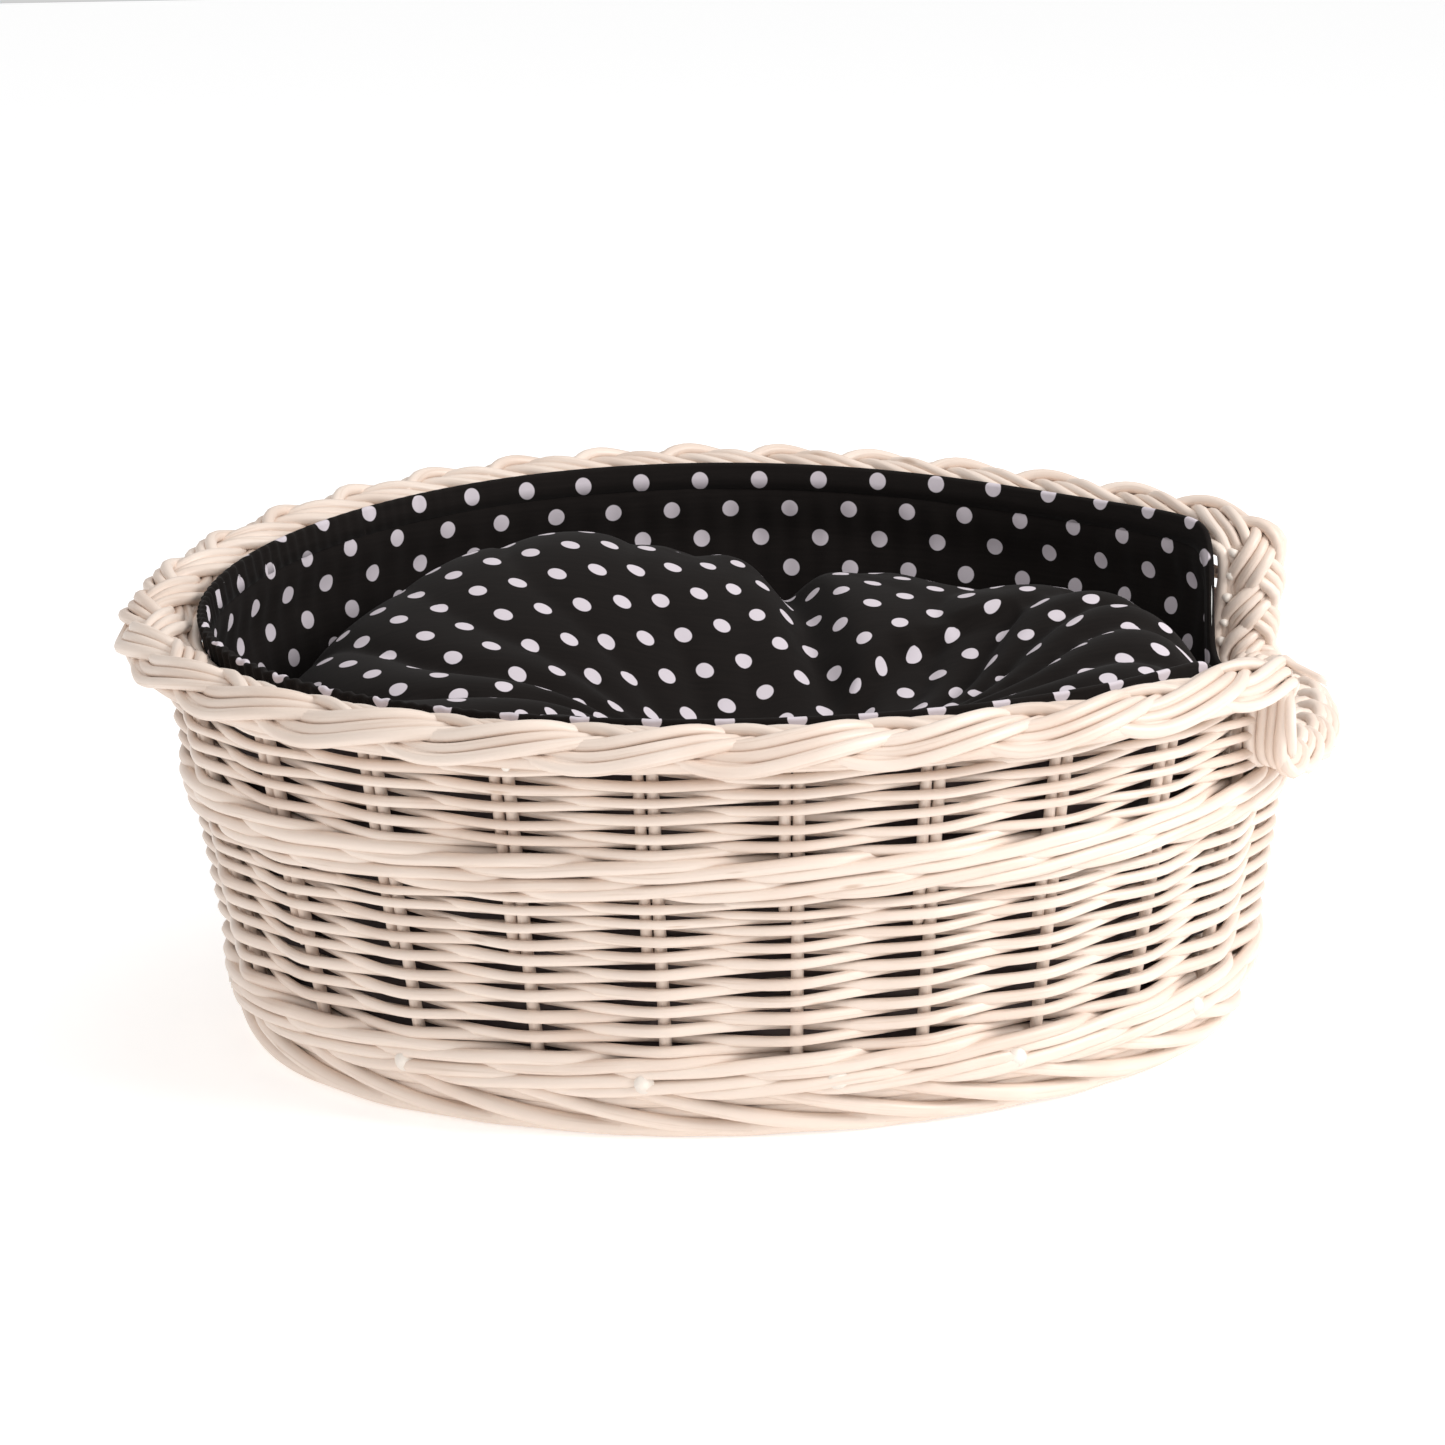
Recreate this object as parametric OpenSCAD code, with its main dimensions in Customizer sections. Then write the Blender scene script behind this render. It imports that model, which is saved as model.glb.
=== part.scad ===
// Oval wicker pet basket with a low entrance at one end, a cloth liner and a lift-out cushion.
// X runs along the basket towards the entrance end, Z is up, and the floor is at z = 0.

/* [Basket outline] */
// Length of the outside of the wall where it meets the floor
base_len = 524; // [440:1:640]
// Width of the outside of the wall where it meets the floor
base_wid = 390; // [330:1:460]
// Length of the outside of the wall at the measuring height below
rim_len = 596; // [500:1:700]
// Width of the outside of the wall at the measuring height below
rim_wid = 484; // [400:1:560]
// Height at which the rim length and width are measured
rim_level = 230; // [190:1:280]
// How far the closed end leans out past the entrance end at that height
lean = 7; // [0:1:15]
// Height of the rim at the middle of the front
front_h = 218; // [195:1:260]
// Height of the rim at the middle of the back
back_h = 247; // [225:1:300]
// Height that the rim gains across the entrance
entrance_step = 17; // [0:1:20]
// How late the rim's rise comes: 1 rises evenly from front to back, more keeps the ends low
rise_power = 2.4; // [1:0.1:4]
// How close to the entrance the rim's step stays: more keeps it closer
step_power = 8; // [2:1:12]

/* [Wicker rows] */
// Thickness of the woven wall, from its inner to its outer rods
wall_thick = 15; // [12:0.5:20]
// Height of the rolled foot
foot_h = 25; // [18:1:35]
// Width of the rolled foot
foot_w = 22; // [16:1:30]
// Height of the first heavy waling
upsett_h = 20; // [14:1:30]
// Height at which the waling round the middle starts
mid_z = 129; // [110:1:135]
// Height of the waling round the middle
mid_h = 20; // [14:1:26]
// Gap between one band of weaving and the next
band_gap = 0.3; // [0.2:0.1:1]

/* [Stakes and base] */
// Number of side stakes all round
stake_count = 24; // [20:2:30]
// Diameter of a side stake
stake_d = 6.5; // [5:0.5:8]
// Diameter of the by-stake beside each side stake
by_stake_d = 5.5; // [4:0.5:7]
// Diameter of a base stick that runs across the basket
cross_stick_d = 9; // [7:0.5:12]
// Diameter of a base stick that runs along the basket, through the cross sticks
long_stick_d = 5; // [3:0.5:6]
// Number of base sticks along the basket
long_sticks = 3; // [1:2:3]
// Distance of the inner cross sticks from the middle one, as a share of the base's length
inner_cross = 0.173; // [0.165:0.001:0.181]
// Distance of the outer cross sticks from the middle one, as a share of the base's length
outer_cross = 0.3755; // [0.373:0.0005:0.378]
// Thickness of the woven base
base_thick = 15; // [12:0.5:20]
// How far a base stick's cut end stands out of the wall
stick_proud = 2; // [0:0.5:4]

/* [Border] */
// Width of the plaited border
border_w = 44; // [34:1:54]
// Height of the plaited border
border_h = 19; // [15:1:26]
// How far the border's middle stands outside the middle of the wall
border_set = 8; // [0:0.5:10]

/* [Entrance] */
// Direction of the entrance's middle from the long axis, in degrees
entrance_dir = -13.5; // [-25:0.5:0]
// Width of the entrance, in spaces between stakes
entrance_bays = 3; // [2:1:4]
// Height of the plait across the entrance's sill
sill_plait_h = 20; // [15:1:26]

/* [Liner] */
// Thickness of the liner cloth with its backing
liner_t = 2; // [1.5:0.1:3]
// Gap between the liner and the wicker
liner_gap = 1; // [0.5:0.1:3]
// Depth of the gathered hem at the liner's top
hem_h = 14; // [10:1:18]
// Thickness of each fold of the hem
hem_leaf = 1.2; // [0.8:0.1:2]
// Diameter of the elastic in the hem
elastic_d = 2.4; // [1.5:0.1:3]

/* [Cushion] */
// Gap between the cushion and the liner
cushion_gap = 4; // [2:0.5:10]
// Height of the cushion's lowest stretch of top above its underside
cushion_h = 142; // [90:1:150]
// Extra height of the hump near the closed end
hump_closed = 40; // [0:1:45]
// Extra height of the hump near the entrance
hump_entrance = 24; // [0:1:35]
// Thickness of the cushion's cover
cover_t = 1.6; // [1:0.1:3]
// Length of the zip in the cover's back seam
zip_len = 300; // [150:5:340]

/* [Hidden] */

cane = [0.93, 0.87, 0.77];
pale_cane = [0.96, 0.92, 0.85];
cloth = [0.10, 0.09, 0.10];
soft_cloth = [0.16, 0.14, 0.15];
white_fill = [0.92, 0.92, 0.90];
ring_steps = 72;
oval_sides = 120;
rod_sides = 24;
fit_gap = 0.3;

// Where the bands of the wall start, from the floor up
base_z = foot_h + band_gap;
upsett_z = foot_h + band_gap;
lower_z = upsett_z + upsett_h + band_gap;
upper_z = mid_z + mid_h + band_gap;
sill_h = upper_z + sill_plait_h;
floor_z = base_z + base_thick + liner_gap;
cushion_z = floor_z + liner_t + fit_gap;

// The wall's outside at height z: half its length, half its width, and its middle along X
function half_x(z) = base_len / 2 + (rim_len - base_len) / 2 * z / rim_level;
function half_y(z) = base_wid / 2 + (rim_wid - base_wid) / 2 * z / rim_level;
function shift_x(z) = -lean * z / rim_level;

// Height of the rim's crest in direction t
function rim_h(t) = front_h + (back_h - front_h) * pow((1 + sin(t)) / 2, rise_power)
    + entrance_step * pow(max(0, cos(t)), step_power) * sin(2 * (t - entrance_dir));

// A point of the wall: direction t, height z, pushed outwards from its outside by out
function wall_point(t, z, out, middle = origin) =
    let (a = half_x(z), b = half_y(z), n = [cos(t) / a, sin(t) / b], u = n / norm(n))
    [middle[0] + shift_x(z) + a * cos(t) + out * u[0], middle[1] + b * sin(t) + out * u[1], z];

// Distance round the wall at the middle waling, and the direction at a distance
function arc_step(t) = norm([half_x(mid_z) * (cos(t + 1) - cos(t)), half_y(mid_z) * (sin(t + 1) - sin(t))]);
arc_table = [for (t = -180, s = 0; t <= 540; s = s + arc_step(t), t = t + 1) [s, t]];
arc_back = [for (row = arc_table) [row[1], row[0]]];
function arc_at(t) = lookup(t, arc_back);
function dir_at(s) = lookup(s, arc_table);
bay = (arc_at(360) - arc_at(0)) / stake_count;

// Stakes start at the back corner of the entrance and go round past the back
post_back_s = arc_at(entrance_dir) + entrance_bays * bay / 2;
post_back_t = dir_at(post_back_s);
post_front_t = dir_at(post_back_s - entrance_bays * bay);
full_stakes = stake_count - entrance_bays + 1;
function stake_t(i) = dir_at(post_back_s + i * bay);
half_post = border_h / 2 / bay * (dir_at(post_back_s + bay) - post_back_t);

// The border's reach on each side sets the origin in the middle of the whole basket
border_mid = border_set - wall_thick / 2;
function border_reach(t) = wall_point(t, rim_h(t) - border_h * 0.62, border_mid + border_w / 2, [0, 0]);
reach_end = max([for (t = [post_back_t + half_post / 2 : 2 : 60]) border_reach(t)[0]]);
origin = -[border_reach(180)[0] + reach_end, border_reach(90)[1] + border_reach(270)[1]] / 2;

// A closed ring or an open arc whose cross-section is given for each direction.
// The cross-section runs anticlockwise as [out, height] points.
module wall_band(section, from = 0, to = 360, steps = ring_steps) {
    closed = to - from >= 360;
    rings = closed ? steps : steps + 1;
    m = len(section(from));
    points = [for (i = [0 : rings - 1]) let (t = from + (to - from) * i / steps)
        for (p = section(t)) wall_point(t, p[1], p[0])];
    sides = [for (i = [0 : steps - 1], j = [0 : m - 1])
        let (k = (i + 1) % rings, l = (j + 1) % m)
        each [[i * m + j, k * m + l, k * m + j], [i * m + j, i * m + l, k * m + l]]];
    ends = closed ? [] : concat(
        [for (j = [1 : m - 2]) [0, j + 1, j]],
        [for (j = [1 : m - 2]) [steps * m, steps * m + j, steps * m + j + 1]]);
    polyhedron(points = points, faces = concat(sides, ends), convexity = 4);
}

// A rectangle of wall from low to high between two depths, with its corners taken off
function slab(in, out, low, high, c = 3) =
    [[in, low + c], [in + c, low], [out - c, low], [out, low + c],
     [out, high - c], [out - c, high], [in + c, high], [in, high - c]];

// A straight rod between two points
module rod(p, q, d) {
    v = q - p;
    translate(p) rotate([0, acos(v[2] / norm(v)), atan2(v[1], v[0])])
        cylinder(h = norm(v), d = d, $fn = rod_sides);
}

// A stake at direction t, from low to high in the middle of the wall's thickness
module stake(t, low, high, d) {
    rod(wall_point(t, low, -wall_thick / 2), wall_point(t, high, -wall_thick / 2), d);
}

function oval_line(a, b) = [for (t = [0 : 360 / oval_sides : 359]) [a * cos(t), b * sin(t)]];

// An upright elliptical disc from z to z + h, inset from the wall's outside where it is smallest
module oval_disc(z, h, inset) {
    a = min(half_x(z), half_x(z + h));
    b = min(half_y(z), half_y(z + h));
    translate([origin[0] + shift_x(z), origin[1], z]) linear_extrude(h)
        polygon(oval_line(a - inset, b - inset));
}

module foot_border() {
    color(pale_cane) difference() {
        oval_disc(0, foot_h, 0);
        translate([0, 0, -1]) oval_disc(0, foot_h + 2, foot_w);
    }
}

// Half the length of a base stick that crosses the oval at offset v from its middle
function chord(half_along, half_across, v) = half_along * sqrt(1 - pow(v / half_across, 2));
stick_z = base_z + base_thick / 2;
long_pitch = long_stick_d + 4;
cross_x = base_len * [-outer_cross, -inner_cross, 0, inner_cross, outer_cross];
function long_y(i) = (i - (long_sticks - 1) / 2) * long_pitch;

module long_stick(y, d) {
    reach = chord(half_x(stick_z), half_y(stick_z), y) + stick_proud;
    translate([origin[0] - reach, origin[1] + y, stick_z]) rotate([0, 90, 0])
        cylinder(h = 2 * reach, d = d, $fn = rod_sides);
}

module cross_stick(x) {
    reach = chord(half_y(stick_z), half_x(stick_z), x) + stick_proud;
    translate([origin[0] + x, origin[1] - reach, stick_z]) rotate([-90, 0, 0])
        cylinder(h = 2 * reach, d = cross_stick_d, $fn = rod_sides);
}

module base_sticks_long() {
    color(cane) for (i = [0 : long_sticks - 1]) long_stick(long_y(i), long_stick_d);
}

// The cross sticks are pierced, and the long sticks run through them
module base_sticks_cross() {
    color(cane) difference() {
        for (x = cross_x) cross_stick(x);
        for (i = [0 : long_sticks - 1]) long_stick(long_y(i), long_stick_d + 2 * fit_gap);
    }
}

module base_weave() {
    color(cane) oval_disc(base_z, base_thick, wall_thick + fit_gap);
}

module upsett_wale() {
    color(pale_cane) wall_band(function(t) slab(-wall_thick, 1, upsett_z, upsett_z + upsett_h));
}

// Stakes run from inside the foot up into the middle of the border
stake_low = foot_h / 3;

module side_stakes() {
    color(cane) for (i = [0 : full_stakes - 1])
        stake(stake_t(i), stake_low, rim_h(stake_t(i)) - border_h / 2, stake_d);
}

// By-stakes stand beside the side stakes, far enough off to stay clear where the wall narrows
by_stake_low = lower_z + 2;
by_stake_tuck = border_h * 0.7;

module by_stakes() {
    beside = ((stake_d + by_stake_d) / 2 + fit_gap) * half_x(mid_z) / half_x(lower_z);
    color(cane) for (i = [1 : full_stakes - 2]) let (t = dir_at(post_back_s + i * bay - beside))
        stake(t, by_stake_low, rim_h(t) - by_stake_tuck, by_stake_d);
}

module entrance_stakes() {
    color(cane) for (i = [full_stakes : stake_count - 1])
        stake(stake_t(i), stake_low, sill_h - border_h / 2, stake_d);
}

module lower_weave() {
    color(cane) wall_band(function(t) slab(-wall_thick, 0, lower_z, mid_z - band_gap));
}

module mid_wale() {
    color(pale_cane) wall_band(function(t) slab(-wall_thick, 1, mid_z, mid_z + mid_h));
}

module upper_weave() {
    color(cane) wall_band(function(t) slab(-wall_thick, 0, upper_z, rim_h(t) - border_h - band_gap),
        post_back_t + half_post, post_front_t + 360 - half_post);
}

// The border's cross-section about its own middle: domed above, seated on the wall below
dome_steps = 6;
dome_share = 0.62;
seat_share = 0.36;
border_half = [for (k = [0 : dome_steps]) let (q = 180 * k / dome_steps)
    [cos(q) * border_w / 2, (pow(sin(q), 0.7) * dome_share + 0.5 - dome_share) * border_h]];
border_section = concat(border_half,
    [[-border_w * seat_share, -border_h / 2], [border_w * seat_share, -border_h / 2]]);

module rim_border() {
    color(pale_cane) wall_band(function(t) [for (p = border_section)
            [p[0] + border_mid, rim_h(t) - border_h / 2 + p[1]]],
        post_back_t + half_post, post_front_t + 360 - half_post);
}

// A length of border that stands up the side of the entrance, its dome facing the gap.
// Its top is drawn in and tilted, to stay under the rim that turns down into it.
post_steps = 8;
post_tuck = 0.55;
post_tilt = 0.1;

module entrance_post(t, way) {
    low = upper_z;
    high = rim_h(t - way * half_post);
    steps = post_steps;
    m = len(border_section);
    deg_per_mm = (dir_at(post_back_s + bay) - post_back_t) / bay;
    points = [for (i = [0 : steps]) let (z = low + (high - low) * i / steps,
            tuck = i == steps ? post_tuck : 1)
        for (p = border_section) wall_point(t + way * p[1] * deg_per_mm,
            z - (i == steps ? (way * p[1] + border_h / 2) * post_tilt : 0), p[0] * tuck + border_mid)];
    sides = [for (i = [0 : steps - 1], j = [0 : m - 1])
        let (k = i + 1, l = (j + 1) % m, a = i * m + j, b = k * m + j, c = k * m + l, d = i * m + l)
        each (way > 0 ? [[a, b, c], [a, c, d]] : [[a, c, b], [a, d, c]])];
    ends = concat([for (j = [1 : m - 2]) way > 0 ? [0, j, j + 1] : [0, j + 1, j]],
        [for (j = [1 : m - 2]) let (s = steps * m) way > 0 ? [s, s + j + 1, s + j] : [s, s + j, s + j + 1]]);
    polyhedron(points = points, faces = concat(sides, ends), convexity = 4);
}

module entrance_post_front() {
    color(pale_cane) entrance_post(post_front_t, 1);
}

module entrance_post_back() {
    color(pale_cane) entrance_post(post_back_t, -1);
}

sill_clear = half_post * 1.1;
sill_steps = 14;

module entrance_sill() {
    color(pale_cane) wall_band(function(t) [for (p = border_section)
            [p[0] + border_mid, sill_h + (p[1] - border_h / 2) * sill_plait_h / border_h]],
        post_front_t + sill_clear, post_back_t - sill_clear, sill_steps);
}

// The liner lies against the wall and comes in to the border's inner edge near its top
function in_entrance(t) = let (u = t > 180 ? t - 360 : t) u > post_front_t && u < post_back_t;
hem_below_crest = border_h * 0.16;
function liner_top(t) = (in_entrance(t) ? sill_h : rim_h(t)) - hem_below_crest;
hem_slot = max(liner_t, elastic_d) + 2 * fit_gap;
hem_t = hem_slot + 2 * hem_leaf;
hem_out = border_mid - border_w / 2 - liner_gap;
hem_in = hem_out - hem_t;
liner_low = -(wall_thick + liner_gap);
liner_high = (hem_out + hem_in) / 2 + liner_t / 2;

// The liner comes in to the border's inner edge below this height, lower beside the entrance posts
post_reach = half_post + 1.2 * 360 / ring_steps;
function beside_entrance(t) = let (u = t > 180 ? t - 360 : t)
    u > post_front_t - post_reach && u < post_back_t + post_reach;
function liner_knee(t) = (beside_entrance(t) ? upper_z : liner_top(t) - hem_h - 2) - fit_gap;

module liner_floor() {
    color(cloth) oval_disc(floor_z, liner_t, wall_thick + liner_gap + liner_t + fit_gap);
}

module liner_wall() {
    color(cloth) wall_band(function(t)
        let (top = liner_top(t) - hem_leaf - elastic_d - 2 * fit_gap,
            knee = min(liner_knee(t), top - hem_h),
            line = [[liner_low, floor_z], [liner_low, (floor_z + knee) / 2],
                [liner_low, knee - border_h], [liner_high, knee], [liner_high, top]])
        concat(line, [for (k = [len(line) - 1 : -1 : 0]) line[k] - [liner_t, 0]]));
}

module liner_hem() {
    color(cloth) wall_band(function(t) let (top = liner_top(t), low = top - hem_h)
        [[hem_out, low], [hem_out, top], [hem_in, top], [hem_in, low],
         [hem_in + hem_leaf, low], [hem_in + hem_leaf, top - hem_leaf],
         [hem_out - hem_leaf, top - hem_leaf], [hem_out - hem_leaf, low]]);
}

module hem_elastic() {
    hem_mid = (hem_out + hem_in) / 2;
    r = elastic_d / 2;
    color("white") wall_band(function(t) let (z = liner_top(t) - hem_leaf - fit_gap - r)
        [for (q = [0 : 60 : 300]) [hem_mid + cos(q) * r, z + sin(q) * r]]);
}

// The cushion keeps clear of the hem, which it passes as it lifts out, and of the sill's hem.
// Its sides are widest at the height clear_z.
clear_z = floor_z + 60;
inside = liner_low - liner_t - cushion_gap;
past_hem = hem_in - cushion_gap;
cushion_end_closed = shift_x(clear_z) - min(half_x(clear_z) + inside, half_x(front_h - border_h) + past_hem);
cushion_end_open = min(half_x(clear_z) + shift_x(clear_z) + inside,
    half_x(sill_h) + shift_x(sill_h) + past_hem);
cushion_mid = origin + [(cushion_end_closed + cushion_end_open) / 2, 0];
cushion_half_x = (cushion_end_open - cushion_end_closed) / 2;
cushion_half_y = min(half_y(clear_z) + inside, half_y(front_h - border_h) + past_hem);
foot_of_side = min(0.94, (half_y(floor_z) + inside) / cushion_half_y);

// A hump of the cushion's top, and the whole top's height at a place given as shares of its half sizes
function hump(u, v, u0, v0, ru, rv) = exp(-pow((u - u0) / ru, 2) - pow((v - v0) / rv, 2));
function cushion_top(u, v) = cushion_z + cushion_h
    + hump_closed * hump(u, v, -0.36, 0.3, 0.62, 0.75)
    + hump_entrance * hump(u, v, 0.74, 0.05, 0.36, 0.7);

// A point of the cushion's skin in direction t, from its bottom edge (w = 0)
// over its widest place (w = side_part) to its middle (w = 1)
side_part = 0.3;
crown_round = 0.6;
lift_round = 0.8;
function skin_side(w) = w < side_part
    ? foot_of_side + (1 - foot_of_side) * sin(w / side_part * 90)
    : pow(cos((w - side_part) / (1 - side_part) * 90), crown_round);
function skin_point(t, w, inset) =
    let (side = skin_side(w), lift = pow(sin(w * 90), lift_round),
        u = side * cos(t), v = side * sin(t),
        low = cushion_z + inset, high = cushion_top(u, v) - inset)
    [cushion_mid[0] + u * (cushion_half_x - inset), cushion_mid[1] + v * (cushion_half_y - inset),
        low + (high - low) * lift];

skin_steps = 48;
skin_rings = 9;
function skin(inset) = concat(
    [for (r = [0 : skin_rings - 1], i = [0 : skin_steps - 1])
        skin_point(i * 360 / skin_steps, r / skin_rings, inset)],
    [skin_point(0, 1, inset)]);
function skin_faces(first, flip) = let (n = skin_steps, pole = first + n * skin_rings) concat(
    [for (r = [0 : skin_rings - 2], i = [0 : n - 1]) let (k = (i + 1) % n,
        a = first + r * n + i, b = first + r * n + k, c = a + n, d = b + n)
        each (flip ? [[a, b, d], [a, d, c]] : [[a, d, b], [a, c, d]])],
    [for (i = [0 : n - 1]) let (a = pole - n + i, b = pole - n + (i + 1) % n)
        flip ? [a, b, pole] : [a, pole, b]]);

module cushion_base_panel() {
    in = cover_t + fit_gap;
    color(soft_cloth) translate([cushion_mid[0], cushion_mid[1], cushion_z]) linear_extrude(cover_t)
        polygon(oval_line(cushion_half_x * foot_of_side - in, cushion_half_y * foot_of_side - in));
}

module cushion_top_panel() {
    n = skin_steps;
    inner = n * skin_rings + 1;
    seam = [for (i = [0 : n - 1]) let (k = (i + 1) % n) each [[i, k, inner + k], [i, inner + k, inner + i]]];
    edge_z = cushion_z + cover_t + 0.01;
    points = concat(skin(0), [for (p = skin(cover_t)) p - [0, 0, p[2] < edge_z ? cover_t : 0]]);
    color(soft_cloth) polyhedron(points = points,
        faces = concat(skin_faces(0, false), skin_faces(inner, true), seam), convexity = 4);
}

module cushion_filling() {
    color(white_fill) polyhedron(points = skin(cover_t + fit_gap),
        faces = concat(skin_faces(0, false), [[for (i = [0 : skin_steps - 1]) i]]), convexity = 4);
}

// The zip is sewn along the cover's back side, low down
zip_low = 0.04;
zip_high = 0.10;
zip_t = 1.4;
zip_sunk = 0.4;
zip_steps = 16;

module cushion_zip() {
    span = zip_len / cushion_half_x * 180 / PI;
    m = zip_steps + 1;
    function zip_row(w, out) = [for (i = [0 : zip_steps])
        skin_point(90 - span / 2 + span * i / zip_steps, w, -out)];
    points = concat(zip_row(zip_low, zip_t), zip_row(zip_high, zip_t),
        zip_row(zip_high, -zip_sunk), zip_row(zip_low, -zip_sunk));
    sides = [for (i = [0 : zip_steps - 1], r = [0 : 3]) let (l = (r + 1) % 4)
        each [[r * m + i, l * m + i, l * m + i + 1], [r * m + i, l * m + i + 1, r * m + i + 1]]];
    ends = [[for (r = [0, 3, 2, 1]) r * m], [for (r = [0 : 3]) r * m + zip_steps]];
    color("dimgray") polyhedron(points = points, faces = concat(sides, ends), convexity = 4);
}

foot_border();
base_sticks_long();
base_sticks_cross();
base_weave();
upsett_wale();
side_stakes();
by_stakes();
entrance_stakes();
lower_weave();
mid_wale();
upper_weave();
rim_border();
entrance_post_front();
entrance_post_back();
entrance_sill();
liner_floor();
liner_wall();
liner_hem();
hem_elastic();
cushion_base_panel();
cushion_top_panel();
cushion_filling();
cushion_zip();
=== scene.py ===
import math
import bpy
import numpy as np
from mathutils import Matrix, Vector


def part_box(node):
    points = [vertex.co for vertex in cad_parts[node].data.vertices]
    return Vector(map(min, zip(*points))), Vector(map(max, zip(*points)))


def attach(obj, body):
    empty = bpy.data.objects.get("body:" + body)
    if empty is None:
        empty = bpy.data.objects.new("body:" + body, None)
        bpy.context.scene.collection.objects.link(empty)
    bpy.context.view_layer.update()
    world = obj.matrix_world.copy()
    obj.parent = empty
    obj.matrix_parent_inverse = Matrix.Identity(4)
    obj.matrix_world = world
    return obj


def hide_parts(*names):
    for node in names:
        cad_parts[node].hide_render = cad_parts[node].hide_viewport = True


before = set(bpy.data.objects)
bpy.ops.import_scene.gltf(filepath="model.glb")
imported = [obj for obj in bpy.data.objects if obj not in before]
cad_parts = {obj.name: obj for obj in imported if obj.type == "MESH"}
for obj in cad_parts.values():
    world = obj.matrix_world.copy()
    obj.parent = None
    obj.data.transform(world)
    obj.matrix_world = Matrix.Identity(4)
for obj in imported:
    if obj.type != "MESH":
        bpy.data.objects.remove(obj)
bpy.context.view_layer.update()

random = np.random.default_rng(7)
mm = 0.001
print("frame loaded")


# sizes of the basket that the weaving follows

basket = {
    "baseLen": 524 * mm, "baseWid": 390 * mm,      # outside of the wall on the floor
    "rimLen": 596 * mm, "rimWid": 484 * mm,        # outside of the wall at rimLevel
    "rimLevel": 230 * mm, "lean": 7 * mm,
    "frontH": 218 * mm, "backH": 247 * mm, "entranceStep": 17 * mm, "risePower": 2.4, "stepPower": 8,
    "wallThick": 15 * mm, "borderW": 44 * mm, "borderH": 19 * mm, "borderSet": 8 * mm,
    "stakes": 24, "entranceDir": -13.5, "entranceBays": 3,
}
footLow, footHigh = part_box("foot_border")
middle = (np.array(footLow) + np.array(footHigh)) / 2
footTop = footHigh.z
waleLow, waleHigh = (corner.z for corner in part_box("mid_wale"))
upsettLow, upsettHigh = (corner.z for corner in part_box("upsett_wale"))
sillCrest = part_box("entrance_sill")[1].z


# half the oval's length and width at height z: straight from the floor's size to the rim's
def halfX(z):
    return basket["baseLen"] / 2 + (basket["rimLen"] - basket["baseLen"]) / 2 * z / basket["rimLevel"]


def halfY(z):
    return basket["baseWid"] / 2 + (basket["rimWid"] - basket["baseWid"]) / 2 * z / basket["rimLevel"]


# x of the oval's middle, which leans over in proportion to the height
def ovalX(z):
    return middle[0] - basket["lean"] * z / basket["rimLevel"]


# height of the rim's crest: it rises towards the back with a power of the sine, and steps up across the
# entrance with a power of the cosine
def rimHeight(t):
    rise = (basket["backH"] - basket["frontH"]) * ((1 + np.sin(t)) / 2) ** basket["risePower"]
    fromEntrance = t - math.radians(basket["entranceDir"])
    step = np.maximum(0, np.cos(t)) ** basket["stepPower"] * np.sin(2 * fromEntrance)
    return basket["frontH"] + rise + basket["entranceStep"] * step


# level unit vector that points straight out of the wall in direction t
def wallNormal(t, z):
    n = np.stack([np.cos(t) / halfX(z), np.sin(t) / halfY(z), 0 * t], -1)
    return n / np.linalg.norm(n, axis=-1, keepdims=True)


# a point on a flared oval: its middle plus its half sizes at height z times (cos, sin), pushed out along the
# wall's normal
def wallPoint(t, z, out):
    t, z, out = np.broadcast_arrays(t, z, out)
    x = ovalX(z) + halfX(z) * np.cos(t)
    y = middle[1] + halfY(z) * np.sin(t)
    return np.stack([x, y, z], -1) + wallNormal(t, z) * out[..., None]


# distance round the oval at the middle waling, tabulated so that it can be read both ways
turn = np.radians(np.linspace(-360, 720, 4321))
hops = np.hypot(halfX(waleLow) * np.diff(np.cos(turn)), halfY(waleLow) * np.diff(np.sin(turn)))
distance = np.concatenate([[0], np.cumsum(hops)])
distance -= np.interp(0, turn, distance)


def dirAt(s):
    return np.interp(s, distance, turn)


def arcAt(t):
    return np.interp(t, turn, distance)


bay = arcAt(2 * math.pi) / basket["stakes"]
backPostS = arcAt(math.radians(basket["entranceDir"])) + basket["entranceBays"] * bay / 2
frontPostS = backPostS - basket["entranceBays"] * bay
roundS = bay * basket["stakes"]
borderMid = basket["borderSet"] - basket["wallThick"] / 2
wallMid = -basket["wallThick"] / 2


# a mesh from its points, its faces' corners one face after another, each face's number of corners, the corners'
# places on the pattern, and any values held by the points
def makeMesh(name, points, loops, totals, uv, values=None):
    mesh = bpy.data.meshes.new(name)
    mesh.vertices.add(len(points))
    mesh.vertices.foreach_set("co", np.ascontiguousarray(points, np.float32).ravel())
    mesh.loops.add(len(loops))
    mesh.loops.foreach_set("vertex_index", np.ascontiguousarray(loops, np.int32))
    mesh.polygons.add(len(totals))
    mesh.polygons.foreach_set("loop_start", np.concatenate([[0], np.cumsum(totals)[:-1]]).astype(np.int32))
    mesh.polygons.foreach_set("use_smooth", np.ones(len(totals), bool))
    mesh.uv_layers.new(name="UVMap").data.foreach_set("uv", np.ascontiguousarray(uv, np.float32).ravel())
    for key, data in (values or {}).items():
        attribute = mesh.attributes.new(key, "FLOAT", "POINT")
        attribute.data.foreach_set("value", np.ascontiguousarray(data, np.float32))
    mesh.update(calc_edges=True)
    mesh.validate()
    piece = bpy.data.objects.new(name, mesh)
    bpy.context.scene.collection.objects.link(piece)
    return piece


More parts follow.
